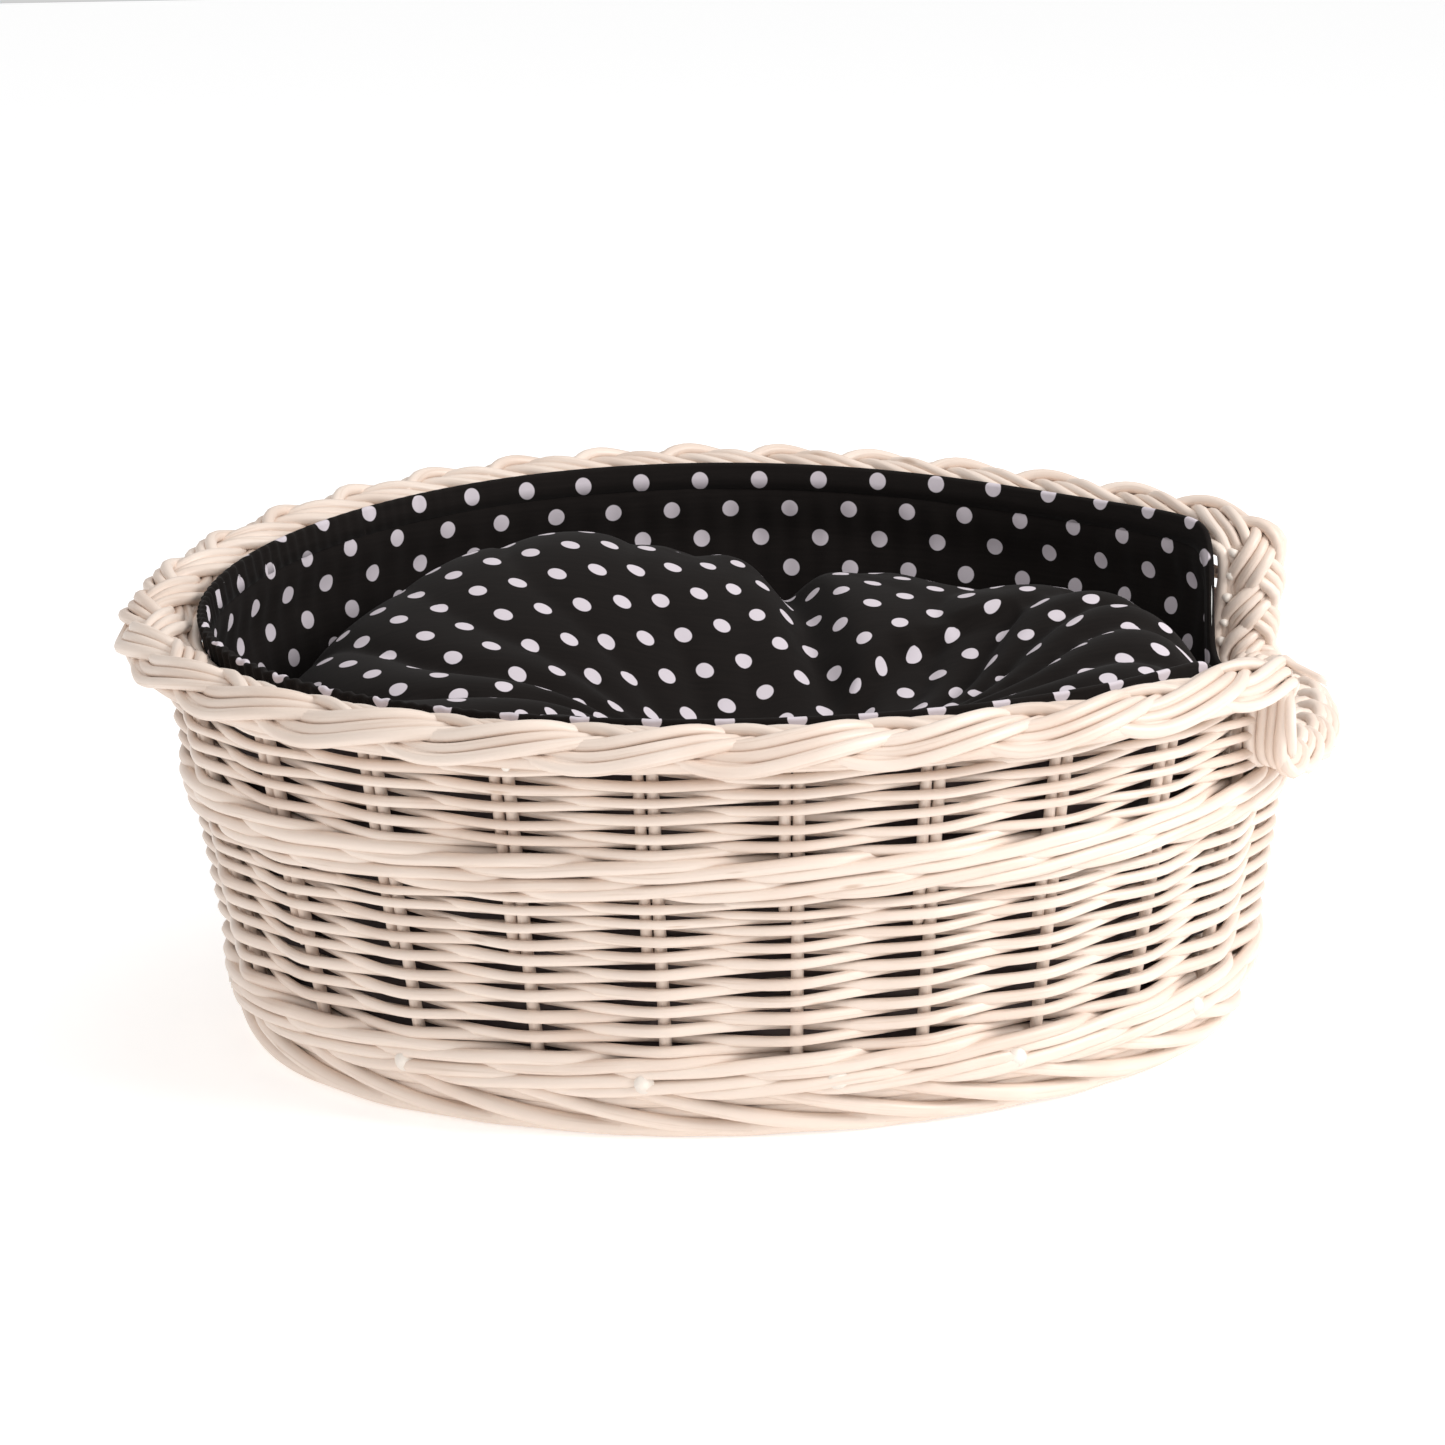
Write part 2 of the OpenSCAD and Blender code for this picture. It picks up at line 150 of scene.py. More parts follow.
# round rods along paths: a circle of the rod's radius is carried along each path, square to it,
# with one side kept towards the given normal; the ends are closed with flat caps
def rods(name, paths, normals, radii, sides=8, closed=False, tone=None):
    count, n = paths.shape[:2]
    if closed:
        along = np.roll(paths, -1, 1) - np.roll(paths, 1, 1)
    else:
        along = np.gradient(paths, axis=1)
    along /= np.linalg.norm(along, axis=-1, keepdims=True)
    side = np.cross(along, normals)
    side /= np.linalg.norm(side, axis=-1, keepdims=True)
    up = np.cross(side, along)
    angle = np.arange(sides) * 2 * math.pi / sides
    ring = np.cos(angle)[:, None] * up[..., None, :] + np.sin(angle)[:, None] * side[..., None, :]
    points = paths[..., None, :] + ring * np.broadcast_to(radii, (count, n))[..., None, None]
    hops = np.linalg.norm(np.diff(paths, axis=1), axis=-1)
    length = np.concatenate([np.zeros((count, 1)), np.cumsum(hops, 1)], 1)
    i, j = np.meshgrid(np.arange(n if closed else n - 1), np.arange(sides), indexing="ij")
    i2, j2 = (i + 1) % n, (j + 1) % sides
    quad = np.stack([i * sides + j, i * sides + j2, i2 * sides + j2, i2 * sides + j], -1).reshape(-1, 4)
    start = (np.arange(count) * n * sides)[:, None, None]
    loops = (quad[None] + start).reshape(-1)
    totals = np.full(count * len(quad), 4)
    lengthEnd = np.concatenate([length, length[:, -1:] + length[:, 1:2]], 1)
    around = 2 * math.pi * np.mean(radii) / sides
    u = np.stack([lengthEnd[:, i], lengthEnd[:, i], lengthEnd[:, i + 1], lengthEnd[:, i + 1]], -1)
    v = np.broadcast_to(np.stack([j, j + 1, j + 1, j], -1) * around, u.shape)
    rodShift = random.uniform(0, 9, count)
    uv = np.stack([u + rodShift[:, None, None, None], v + rodShift[:, None, None, None]], -1).reshape(-1, 2)
    if not closed:
        first = start[:, 0] + np.arange(sides)[::-1]
        last = start[:, 0] + (n - 1) * sides + np.arange(sides)
        caps = np.concatenate([first, last]).reshape(-1)
        loops = np.concatenate([loops, caps])
        totals = np.concatenate([totals, np.full(2 * count, sides)])
        flat = np.stack([np.cos(angle), np.sin(angle)], -1) * np.mean(radii)
        uv = np.concatenate([uv, np.tile(flat, (2 * count, 1))])
    tone = random.uniform(0, 1, count) if tone is None else tone
    ends = np.zeros((count, n, sides))
    if not closed:
        ends[:, [0, -1]] = 1
    values = {"tone": np.repeat(tone, n * sides), "cutEnd": ends.ravel()}
    return makeMesh(name, points.reshape(-1, 3), loops, totals, uv, values)


# smooth noise along a path: a few sine waves with seeded phases, about one in height
def wander(s, count, waves=(0.31, 0.13, 0.047)):
    phase = random.uniform(0, 2 * math.pi, (len(waves), count, 1))
    return sum(np.sin(2 * math.pi * s / w + p) for w, p in zip(waves, phase)) / len(waves) ** 0.5


# moving average along a line, whose ends are held
def smoothLine(values, width):
    return np.convolve(np.pad(values, width // 2, mode="edge"), np.ones(width) / width, "valid")


# hand a finished piece over with its material, body and the nodes that it replaces
def finishPiece(piece, body, nodes, material):
    piece.data.materials.append(material)
    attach(piece, body)
    if nodes:
        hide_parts(*nodes)
    return piece


# a material, a way to add a node to it, and a way to fill in its shader: each socket is given a value, or
# another node's output to join
def newMaterial(name):
    material = bpy.data.materials.new(name)
    material.use_nodes = True
    tree = material.node_tree

    def fill(node, sockets):
        for key, value in sockets.items():
            if isinstance(value, bpy.types.NodeSocket):
                tree.links.new(value, node.inputs[key])
            else:
                node.inputs[key].default_value = value

    def add(kind, output, sockets=None, **settings):
        node = tree.nodes.new("ShaderNode" + kind)
        for key, value in settings.items():
            setattr(node, key, value)
        fill(node, sockets or {})
        return node.outputs[output]

    def paint(**sockets):
        fill(tree.nodes["Principled BSDF"], {key.replace("_", " "): value for key, value in sockets.items()})
    return material, add, paint


willow = {
    "light": (0.80, 0.675, 0.585, 1), "dark": (0.65, 0.495, 0.40, 1), "streak": (0.47, 0.31, 0.21, 1),
    "cut": (0.88, 0.80, 0.72, 1), "roughness": 0.42, "lightAt": 0.75, "toneShare": 0.45,
    "streakScale": (14, 405, 1), "streakFrom": 0.56, "streakTo": 0.78, "streakShare": 0.42, "patchScale": 22,
    "knotScale": (16, 55, 1), "knotFrom": 0.11, "knotTo": 0.04, "knotShare": 0.6,
    "bump": 0.25, "bumpHigh": 0.6 * mm,
}


# peeled willow: each rod has its own shade, with long faint streaks along it and small brown knots
def willowMaterial():
    material, add, paint = newMaterial("willow")
    rodUv = add("UVMap", "UV", uv_map="UVMap")
    tone = add("Attribute", "Fac", attribute_name="tone")
    cutEnd = add("Attribute", "Fac", attribute_name="cutEnd")
    place = add("TexCoord", "Object")
    patch = add("TexNoise", "Fac", {"Vector": place, "Scale": willow["patchScale"], "Detail": 2})
    toned = add("Math", "Value", {0: tone, 1: willow["toneShare"], 2: patch}, operation="MULTIPLY_ADD")
    shade = add("ValToRGB", "Color", {"Fac": toned})
    ramp = shade.node.color_ramp.elements
    ramp[0].color = willow["dark"]
    ramp[1].color = willow["light"]
    ramp[1].position = willow["lightAt"]
    along = add("Mapping", "Vector", {"Vector": rodUv, "Scale": willow["streakScale"]})
    streaks = add("TexNoise", "Fac", {"Vector": along, "Scale": 1, "Detail": 4})
    streakShare = add("MapRange", "Result", {"Value": streaks, "From Min": willow["streakFrom"],
                                             "From Max": willow["streakTo"], "To Max": willow["streakShare"]})
    knotPlace = add("Mapping", "Vector", {"Vector": rodUv, "Scale": willow["knotScale"]})
    knots = add("TexVoronoi", "Distance", {"Vector": knotPlace, "Scale": 1})
    knotShare = add("MapRange", "Result", {"Value": knots, "From Min": willow["knotFrom"],
                                           "From Max": willow["knotTo"], "To Max": willow["knotShare"]})
    for share, colour in ((streakShare, "streak"), (knotShare, "streak"), (cutEnd, "cut")):
        shade = add("Mix", "Result", {"Factor": share, "A": shade, "B": willow[colour]}, data_type="RGBA")
    bump = add("Bump", "Normal", {"Strength": willow["bump"], "Distance": willow["bumpHigh"], "Height": streaks})
    paint(Base_Color=shade, Roughness=willow["roughness"], Specular_IOR_Level=0.5, Normal=bump)
    return material


willowMat = willowMaterial()


def willowPiece(piece, *nodes, slot="willow"):
    finishPiece(piece, "basket", nodes, willowMat)


# weaving

weave = {
    "lowerRows": 18, "upperRows": 12, "lowPitchShare": 1.55, "stakeD": 6.3 * mm, "byStakeD": 5.8 * mm,
    "rodLow": 3.15 * mm, "rodHigh": 2.4 * mm, "waver": 0.75 * mm, "slant": 0.8 * mm, "stepLen": 5 * mm,
    "straight": 0.96, "tight": 0.95, "uneven": 0.11, "overEdge": 4 * mm,
    "midWaleR": 3.4 * mm, "upsettR": 3.6 * mm, "waleUneven": 0.10, "waleWaver": 0.3 * mm,
}


# the weave's swing, in front of one stake and behind the next: the arcsine of a sine wave, which runs straight
# from stake to stake and turns in a small curve
def swing(s, row):
    wave = weave["straight"] * np.sin(math.pi * (s - backPostS) / bay + math.pi * row + math.pi / 2)
    return np.arcsin(wave) / math.asin(weave["straight"])


# rows of weaving between two places along the wall: each row's height is its share of the way from low to high,
# and its rod swings about the stakes, wavers and slants a little, with rows closer together towards the top
def randing(name, sFrom, sTo, low, high, rows, pitchShare, radiusLow, radiusHigh, closed):
    n = int((sTo - sFrom) / weave["stepLen"])
    s = np.linspace(sFrom, sTo, n, endpoint=not closed)[None]
    t = dirAt(s)
    pitch = np.linspace(pitchShare, 1, rows)
    share = ((np.cumsum(pitch) - pitch / 2) / pitch.sum())[:, None]
    row = np.arange(rows)[:, None]
    radius = radiusLow + (radiusHigh - radiusLow) * share
    thick = radius * (1 + weave["uneven"] * wander(s, rows, (0.9, 0.37, 0.15)))
    z = low + (high(t) - low) * share + weave["waver"] * wander(s, rows, (0.42, 0.2, 0.12))
    z = z + weave["slant"] * np.sin(math.pi * (s - backPostS) / bay + math.pi * row)
    out = wallMid + (weave["stakeD"] / 2 + radius) * swing(s, row) * weave["tight"]
    points = wallPoint(t, z, out)
    return rods(name, points, wallNormal(np.broadcast_to(t, z.shape), z), thick, 8, closed)


# a three-rod waling: each rod passes outside two stakes and inside the third (a flattened cosine), and climbs
# while it is outside (a sine)
def waling(name, low, high, rounds, radius):
    n = int(roundS / weave["stepLen"])
    s = np.linspace(0, roundS, n, endpoint=False)[None]
    t = dirAt(s)
    strand = np.arange(3 * rounds)[:, None]
    turnPart = (s - backPostS) / bay / 3 + strand % 3 / 3 + (strand // 3) * 0.17
    swingOut = np.tanh(2.0 * (np.cos(2 * math.pi * turnPart) + 0.5))
    height = (high - low) / rounds
    zMid = low + height * (strand // 3 + 0.5)
    size = radius * (1 + weave["waleUneven"] * wander(s, 3 * rounds, (0.8, 0.3)))
    climb = (height / 2 - radius * 0.55) * np.sin(2 * math.pi * turnPart)
    z = zMid + climb + weave["waleWaver"] * wander(s, 3 * rounds)
    out = wallMid + (weave["stakeD"] / 2 + radius) * swingOut + 0.5 * mm
    return rods(name, wallPoint(t, z, out), wallNormal(np.broadcast_to(t, z.shape), z), size, 9, True)


# straight stakes in the middle of the wall's thickness, from low to high, pointed at the foot
def stakes(name, s, low, high, diameter):
    t = dirAt(s)[:, None]
    share = np.linspace(0, 1, 24)[None]
    low, high = (np.broadcast_to(level, s.shape)[:, None] for level in (low, high))
    z = low + (high - low) * share
    taper = np.interp(share, [0, 0.04, 1], [0.55, 1, 0.92])
    points = wallPoint(t, z, wallMid)
    return rods(name, points, wallNormal(np.broadcast_to(t, z.shape), z), diameter / 2 * taper, 10)


# height at which the stakes and the weave end, inside the border
def rimUnder(t):
    return rimHeight(t) - basket["borderH"] * 0.85


fullStakes = basket["stakes"] - basket["entranceBays"] + 1
stakeS = backPostS + bay * np.arange(fullStakes)
shortS = frontPostS + bay * np.arange(1, basket["entranceBays"])
byS = stakeS[1:-1] - (weave["stakeD"] + weave["byStakeD"]) / 2 * 1.08
byLow = random.uniform(0.066, 0.118, len(byS))
stakeLow = footTop * 0.8

willowPiece(stakes("side_stakes_rods", stakeS, stakeLow, rimUnder(dirAt(stakeS)), weave["stakeD"]),
            "side_stakes")
willowPiece(stakes("by_stakes_rods", byS, byLow, rimUnder(dirAt(byS)), weave["byStakeD"]), "by_stakes")
willowPiece(stakes("entrance_stakes_rods", shortS, stakeLow, sillCrest - 12 * mm, weave["stakeD"]),
            "entrance_stakes")
willowPiece(randing("lower_weave_rods", 0, roundS, upsettHigh, lambda t: waleLow, weave["lowerRows"],
                    weave["lowPitchShare"], weave["rodLow"], weave["rodHigh"], True), "lower_weave")
willowPiece(randing("upper_weave_rods", backPostS - weave["overEdge"], frontPostS + roundS + weave["overEdge"],
                    waleHigh, rimUnder, weave["upperRows"], 1, weave["rodHigh"] * 1.08, weave["rodHigh"],
                    False), "upper_weave")
willowPiece(waling("mid_wale_rods", waleLow, waleHigh, 2, weave["midWaleR"]), "mid_wale")
willowPiece(waling("upsett_wale_rods", upsettLow, upsettHigh, 2, weave["upsettR"]), "upsett_wale")
print("stakes, weave and walings made")


# foot: thick rods that each come out under the waling and slant down over two spaces

foot = {
    "rods": 24, "bays": 3.1, "radius": 4.0 * mm, "start": 0.3, "uneven": 0.06, "clear": 0.2 * mm,
    # a rod's height and how far out it lies, in mm, after so many spaces between stakes
    "highAt": (0, 0.35, 0.9, 1.4, 1.9, 2.5, 3.1), "high": (27, 23.5, 15, 8.5, 5.2, 4.6, 9),
    "outAt": (0, 0.35, 0.9, 1.5, 2.1, 2.7, 3.1), "out": (-10, -4, -3.4, -5, -8, -14, -18),
    "innerOut": (-9, -12, -15, -10, -16), "innerZ": (6, 14, 8, 21, 20), "innerRadius": 5 * mm,
}


# every rod follows the same curve of height and distance outwards, rounded by a moving average
def footBorder():
    p = np.linspace(0, foot["bays"], 46)[None]
    start = np.arange(foot["rods"])[:, None]
    start = start + random.uniform(-foot["uneven"], foot["uneven"], start.shape)
    s = start * bay + p * bay + foot["start"] * bay
    z = smoothLine(np.interp(p[0], foot["highAt"], foot["high"]) * mm, 7)
    out = smoothLine(np.interp(p[0], foot["outAt"], foot["out"]) * mm, 7)
    t = dirAt(s)
    taper = np.interp(p, [0, 0.2, 2.6, 3.1], [0.9, 1, 0.95, 0.8])
    size = foot["radius"] * (1 + 0.08 * wander(s, foot["rods"], (0.5, 0.23))) * taper
    z = np.maximum(z, size + foot["clear"])
    return rods("foot_border_rods", wallPoint(t, z, out), wallNormal(t, z), size, 10)


# rings of rod inside the foot, which the slanting rods are laid over
def footRings():
    t = np.linspace(0, 2 * math.pi, 320, endpoint=False)[None]
    out = np.array(foot["innerOut"])[:, None] * mm
    z = np.array(foot["innerZ"])[:, None] * mm + 0.5 * mm * wander(arcAt(t), len(out))
    size = foot["innerRadius"] * (1 + 0.06 * wander(arcAt(t), len(out)))
    normals = wallNormal(np.broadcast_to(t, z.shape), z)
    return rods("foot_inner_rods", wallPoint(t, z, out), normals, size, 9, True)


willowPiece(footBorder(), "foot_border")
willowPiece(footRings())
print("foot made")


# plaited border

plait = {
    "strands": 3, "rodsEach": 3, "radius": 3.2 * mm, "stepLen": 4 * mm, "sides": 9,
    "rimWave": 3 * bay, "postWave": 66 * mm,  # length of one full swing on the rim, and beside the entrance
    "rimSwing": 12.0 * mm, "postSwing": 11.5 * mm,  # how far a strand's middle swings to each side
    "lift": 3.4 * mm, "dome": 4.6 * mm, "raise": 2.6 * mm, "sillDrop": 10 * mm, "corner": 7, "flat": 0.9,
    "postShift": 6 * mm, "postOut": 4 * mm,  # how far the entrance's back side is moved in, and its border out
    "frontWave": 0.26, "tilt": 0.95, "apart": 1.84, "waver": 0.35 * mm, "uneven": 0.05,
    "coreOut": (-19.5, -13, -6.5, 0, 6, 12), "coreDown": (8, 7, 4.5, 3.5, 4.5, 7), "coreRadius": 3.6 * mm,
}


# moving average round a closed path
def smoothRing(values, width):
    kernel = np.ones(width) / width
    wrapped = np.concatenate([values[-width:], values, values[:width]])
    return np.convolve(wrapped, kernel, "same")[width:-width]


# the border's path on the wall, as distance round it and height: along the rim, down the entrance's front side,
# along the sill and up its back side, with rounded corners; kind is 0 on the rim and 1 beside the entrance
def borderPath():
    postS = backPostS - plait["postShift"]
    rimS = np.linspace(postS, frontPostS + roundS, 400)
    rimZ = rimHeight(dirAt(rimS)) - basket["borderH"] / 2
    sillZ = sillCrest - plait["sillDrop"]
    s = np.concatenate([rimS, [frontPostS + roundS, postS + roundS, postS + roundS]])
    z = np.concatenate([rimZ, [sillZ, sillZ, rimZ[0]]])
    kind = np.concatenate([np.zeros(len(rimS)), [1, 1, 1]])
    length = np.concatenate([[0], np.cumsum(np.hypot(np.diff(s), np.diff(z)))])
    n = int(length[-1] / plait["stepLen"])
    at = np.arange(n) * length[-1] / n
    s, z, kind = (np.interp(at, length, v) for v in (s, z, kind))
    drift = roundS * np.arange(n) / n
    s = smoothRing(smoothRing(s - drift, plait["corner"]), 5) + drift
    return s, smoothRing(smoothRing(z, plait["corner"]), 5), smoothRing(kind, 11), length[-1] / n


# a three-strand plait: each strand swings from side to side (a flattened sine) and lifts twice as often (minus
# the sine of the double angle), so that it goes over and under the others; its rods lie side by side on the
# domed border
def borderPlait():
    s, z, beside, stepLen = borderPath()
    t = dirAt(s)
    rollBack, rollOn = np.roll(s, 1), np.roll(s, -1)
    rollBack[0] -= roundS
    rollOn[-1] += roundS
    d = np.stack([rollOn - rollBack, np.roll(z, -1) - np.roll(z, 1)], -1)
    d /= np.linalg.norm(d, axis=-1, keepdims=True)
    centre = wallPoint(t, z, borderMid + plait["postOut"] * beside)
    across = wallNormal(t, z)
    onwards = np.cross([0, 0, 1.0], across)
    rise = wallPoint(t, z + mm, borderMid) - wallPoint(t, z - mm, borderMid)
    rise /= np.linalg.norm(rise, axis=-1, keepdims=True)
    up = -d[:, 1:] * onwards + d[:, :1] * rise
    frontness = np.sqrt(np.maximum(0, -np.sin(t)))
    rimWave = plait["rimWave"] * (1 - plait["frontWave"] + plait["frontWave"] * frontness)
    rate = 1 / (rimWave + (plait["postWave"] - rimWave) * beside)
    turns = np.cumsum(rate) * stepLen
    angle = 2 * math.pi * turns * round(turns[-1]) / turns[-1]
    angle = angle[None] + (np.arange(plait["strands"]) * 2 * math.pi / plait["strands"])[:, None]
    wide = plait["rimSwing"] + (plait["postSwing"] - plait["rimSwing"]) * beside
    swingSide = np.tanh(plait["flat"] * np.sin(angle)) / math.tanh(plait["flat"])
    height = plait["raise"] - plait["lift"] * np.sin(2 * angle) - plait["dome"] * swingSide ** 2
    path = centre + across * (swingSide * wide)[..., None] + up * height[..., None]
    along = np.roll(path, -1, 1) - np.roll(path, 1, 1)
    along /= np.linalg.norm(along, axis=-1, keepdims=True)
    tilt = up + across * (swingSide * plait["tilt"])[..., None]
    side = np.cross(tilt, along)
    side /= np.linalg.norm(side, axis=-1, keepdims=True)
    each = np.arange(plait["rodsEach"]) - (plait["rodsEach"] - 1) / 2
    count = plait["strands"] * plait["rodsEach"]
    lengthAlong = np.arange(len(s))[None] * stepLen
    waver = plait["waver"] * wander(lengthAlong, count, (0.23, 0.11))
    waver = waver.reshape(plait["strands"], plait["rodsEach"], -1)
    off = each[None, :, None] * plait["radius"] * plait["apart"] + waver
    paths = (path[:, None] + side[:, None] * off[..., None]).reshape(count, len(s), 3)
    normals = np.repeat(tilt, plait["rodsEach"], 0)
    size = plait["radius"] * random.uniform(0.88, 1.1, (count, 1))
    size = size * (1 + plait["uneven"] * wander(lengthAlong, count, (0.5, 0.2)))
    coreOut, coreDown = (np.array(plait[key])[:, None, None] * mm for key in ("coreOut", "coreDown"))
    core = centre + across * (coreOut * (1 - 0.06 * beside)[None, :, None]) - up * coreDown
    coreRods = rods("rim_border_core", core, np.broadcast_to(up, core.shape), plait["coreRadius"], 7, True)
    return rods("rim_border_plait", paths, normals, size, plait["sides"], True), coreRods


plaitPiece, corePiece = borderPlait()
willowPiece(plaitPiece, "rim_border", "entrance_post_front", "entrance_post_back", "entrance_sill")
willowPiece(corePiece)


# rods' cut tips that show under the border and at its front corner
tips = {
    "count": 16, "radius": 2.3 * mm, "length": 17 * mm, "droop": 0.28,
    "pairStake": 15, "pair": (-6 * mm, 5 * mm), "cornerDown": 9 * mm, "cornerOut": 4 * mm, "cornerLonger": 1.7,
}


# each tip is a short straight rod that points outwards, a little down and to one side; the last is at the
# corner
def rodTips():
    s = np.sort(random.uniform(backPostS + bay, frontPostS + roundS - bay / 2, tips["count"]))
    s[:2] = stakeS[tips["pairStake"]] + np.array(tips["pair"])
    s[-1] = frontPostS + roundS - 2 * mm
    t = dirAt(s)
    z = rimHeight(t) - basket["borderH"] + random.uniform(-1.5, 2.5, len(s)) * mm
    z[-1] = rimHeight(t[-1]) - tips["cornerDown"]
    out = np.full(len(s), -4 * mm)
    out[-1] = tips["cornerOut"]
    length = np.full(len(s), tips["length"])
    length[-1] *= tips["cornerLonger"]
    start = wallPoint(t, z + 5 * mm, out)
    lean = random.uniform(-0.5, 0.5, (len(s), 1)) * np.cross([0, 0, 1.0], wallNormal(t, z))
    way = wallNormal(t, z) + lean - [0, 0, tips["droop"]]
    way /= np.linalg.norm(way, axis=-1, keepdims=True)
    paths = start[:, None] + way[:, None] * (np.linspace(0, 1, 6) * length[:, None])[..., None]
    normals = np.tile([0, 0, 1.0], (len(s), 6, 1))
    size = tips["radius"] * random.uniform(0.8, 1.1, (len(s), 1))
    return rods("rod_tips", paths, normals, size, 10)


willowPiece(rodTips())
print("border made")


# base: thick sticks across and thin ones along, with rods woven round them ring by ring
base = {
    "crossR": 4.9 * mm, "crossAt": (-196.8, -90.7, 0, 90.7, 196.8),
    "longR": 2.5 * mm, "longPitch": 9 * mm, "long": 3, "proud": 2.8 * mm,
    "ringR": 2.7 * mm, "ringPitch": 6.6 * mm, "ringSwing": 3.6 * mm, "firstInset": 19 * mm, "lastInset": 186 * mm,
}
baseLow, baseHigh = (corner.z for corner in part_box("base_weave"))
stickZ = (baseLow + baseHigh) / 2
crossAt = np.array(base["crossAt"]) * mm
longAt = (np.arange(base["long"]) - (base["long"] - 1) / 2) * base["longPitch"]


# straight sticks side by side, each as long as the oval is there (half length times the root of one minus the
# square of its share of the half width), and a little longer, so that its ends show in the wall
def baseSticks(name, offsets, halfAlong, halfAcross, radius, alongX):
    reach = halfAlong * np.sqrt(1 - (offsets / halfAcross) ** 2) + base["proud"]
    share = np.linspace(-1, 1, 30)
    run = reach[:, None] * share
    fixed = np.broadcast_to(offsets[:, None], run.shape)
    dx, dy = (run, fixed) if alongX else (fixed, run)
    paths = np.stack([dx + ovalX(stickZ), dy + middle[1], np.full(run.shape, stickZ)], -1)
    normals = np.tile([0, 0, 1.0], run.shape + (1,))
    size = radius * (1 + 0.03 * wander(run, len(offsets), (0.3, 0.1)))
    return rods(name, paths, normals, size, 14, tone=random.uniform(0.2, 0.5, len(offsets)))


# closed ovals, one inside another, each going over one cross stick and under the next (a flattened cosine)
def baseRings():
    inset = np.arange(base["firstInset"], base["lastInset"], base["ringPitch"])[:, None]
    t = np.linspace(0, 2 * math.pi, 260, endpoint=False)[None]
    x = ovalX(stickZ) + (halfX(stickZ) - inset) * np.cos(t)
    y = middle[1] + (halfY(stickZ) - inset) * np.sin(t)
    overUnder = np.where(np.arange(len(inset)) % 2, 1, -1)[:, None] * base["ringSwing"]
    stickNumber = np.interp(x - middle[0], crossAt, np.arange(len(crossAt)))
    z = stickZ + overUnder * np.tanh(2 * np.cos(math.pi * stickNumber))
    paths = np.stack([x, y, z], -1)
    normals = np.tile([0, 0, 1.0], x.shape + (1,))
    return rods("base_weave_rods", paths, normals, base["ringR"], 7, True)


crossSticks = baseSticks("base_sticks_cross_rods", crossAt, halfY(stickZ), halfX(stickZ), base["crossR"], False)
longSticks = baseSticks("base_sticks_long_rods", longAt, halfX(stickZ), halfY(stickZ), base["longR"], True)
willowPiece(crossSticks, "base_sticks_cross", slot="willow_cut")
willowPiece(longSticks, "base_sticks_long", slot="willow_cut")
willowPiece(baseRings(), "base_weave")
print("base made")


# dotted cotton: round pale dots at the corners and middles of squares, on near-black cloth with a fine weave.
# fabric coordinates are in metres along and across the cloth
cloth = {
    "dotR": 4.7 * mm, "square": 34 * mm, "dot": (0.62, 0.56, 0.60, 1), "dotBlur": 0.04,
    "linerBlack": (0.0075, 0.0056, 0.0050), "cushionBlack": (0.0066, 0.0048, 0.0042),
    "reverse": (0.11, 0.088, 0.085, 1), "threadScale": (40, 525, 1), "threadDark": 0.7, "threadLight": 1.6,
    "sheen": 0.03, "sheenSpread": 0.5, "roughness": 0.9, "specular": 0.12, "bump": 0.12, "bumpHigh": 0.3 * mm,
    "cushionTurned": 24,
}


# a dot shows where the nearest corner or middle of a square is closer than its radius, on the cloth's face only
def dottedCloth(name, black, turned):
    material, add, paint = newMaterial(name)
    place = add("UVMap", "UV", uv_map="UVMap")
    perMetre = 1 / cloth["square"]
    squares = add("Mapping", "Vector", {"Vector": place, "Scale": (perMetre, perMetre, 0),
                                        "Rotation": (0, 0, math.radians(turned))})
    far = []
    for corner in (0.0, 0.5):
        moved = add("VectorMath", "Vector", {0: squares, 1: (corner, corner, 0)}, operation="ADD")
        part = add("VectorMath", "Vector", {0: moved}, operation="FRACTION")
        centred = add("VectorMath", "Vector", {0: part, 1: (0.5, 0.5, 0)}, operation="SUBTRACT")
        far.append(add("VectorMath", "Value", {0: centred}, operation="LENGTH"))
    nearest = add("Math", "Value", {0: far[0], 1: far[1]}, operation="MINIMUM")
    dotEdge = cloth["dotR"] / cloth["square"]
    isDot = add("MapRange", "Result", {"Value": nearest, "From Min": dotEdge * (1 + cloth["dotBlur"]),
                                       "From Max": dotEdge * (1 - cloth["dotBlur"])})
    back = add("Attribute", "Fac", attribute_name="reverse")
    front = add("Math", "Value", {0: 1, 1: back}, operation="SUBTRACT")
    shown = add("Math", "Value", {0: isDot, 1: front}, operation="MULTIPLY")
    stretched = add("Mapping", "Vector", {"Vector": place, "Scale": cloth["threadScale"]})
    threads = add("TexNoise", "Fac", {"Vector": stretched, "Scale": 1, "Detail": 3})
    dark, light = (tuple(c * cloth[key] for c in black) + (1,) for key in ("threadDark", "threadLight"))
    shade = add("Mix", "Result", {"Factor": threads, "A": dark, "B": light}, data_type="RGBA")
    for share, colour in ((back, "reverse"), (shown, "dot")):
        shade = add("Mix", "Result", {"Factor": share, "A": shade, "B": cloth[colour]}, data_type="RGBA")
    bump = add("Bump", "Normal", {"Strength": cloth["bump"], "Distance": cloth["bumpHigh"], "Height": threads})
    paint(Base_Color=shade, Roughness=cloth["roughness"], Specular_IOR_Level=cloth["specular"],
          Sheen_Weight=cloth["sheen"], Sheen_Roughness=cloth["sheenSpread"], Normal=bump)
    return material


linerMat = dottedCloth("liner_cloth", cloth["linerBlack"], 0)
cushionMat = dottedCloth("cushion_cloth", cloth["cushionBlack"], cloth["cushionTurned"])


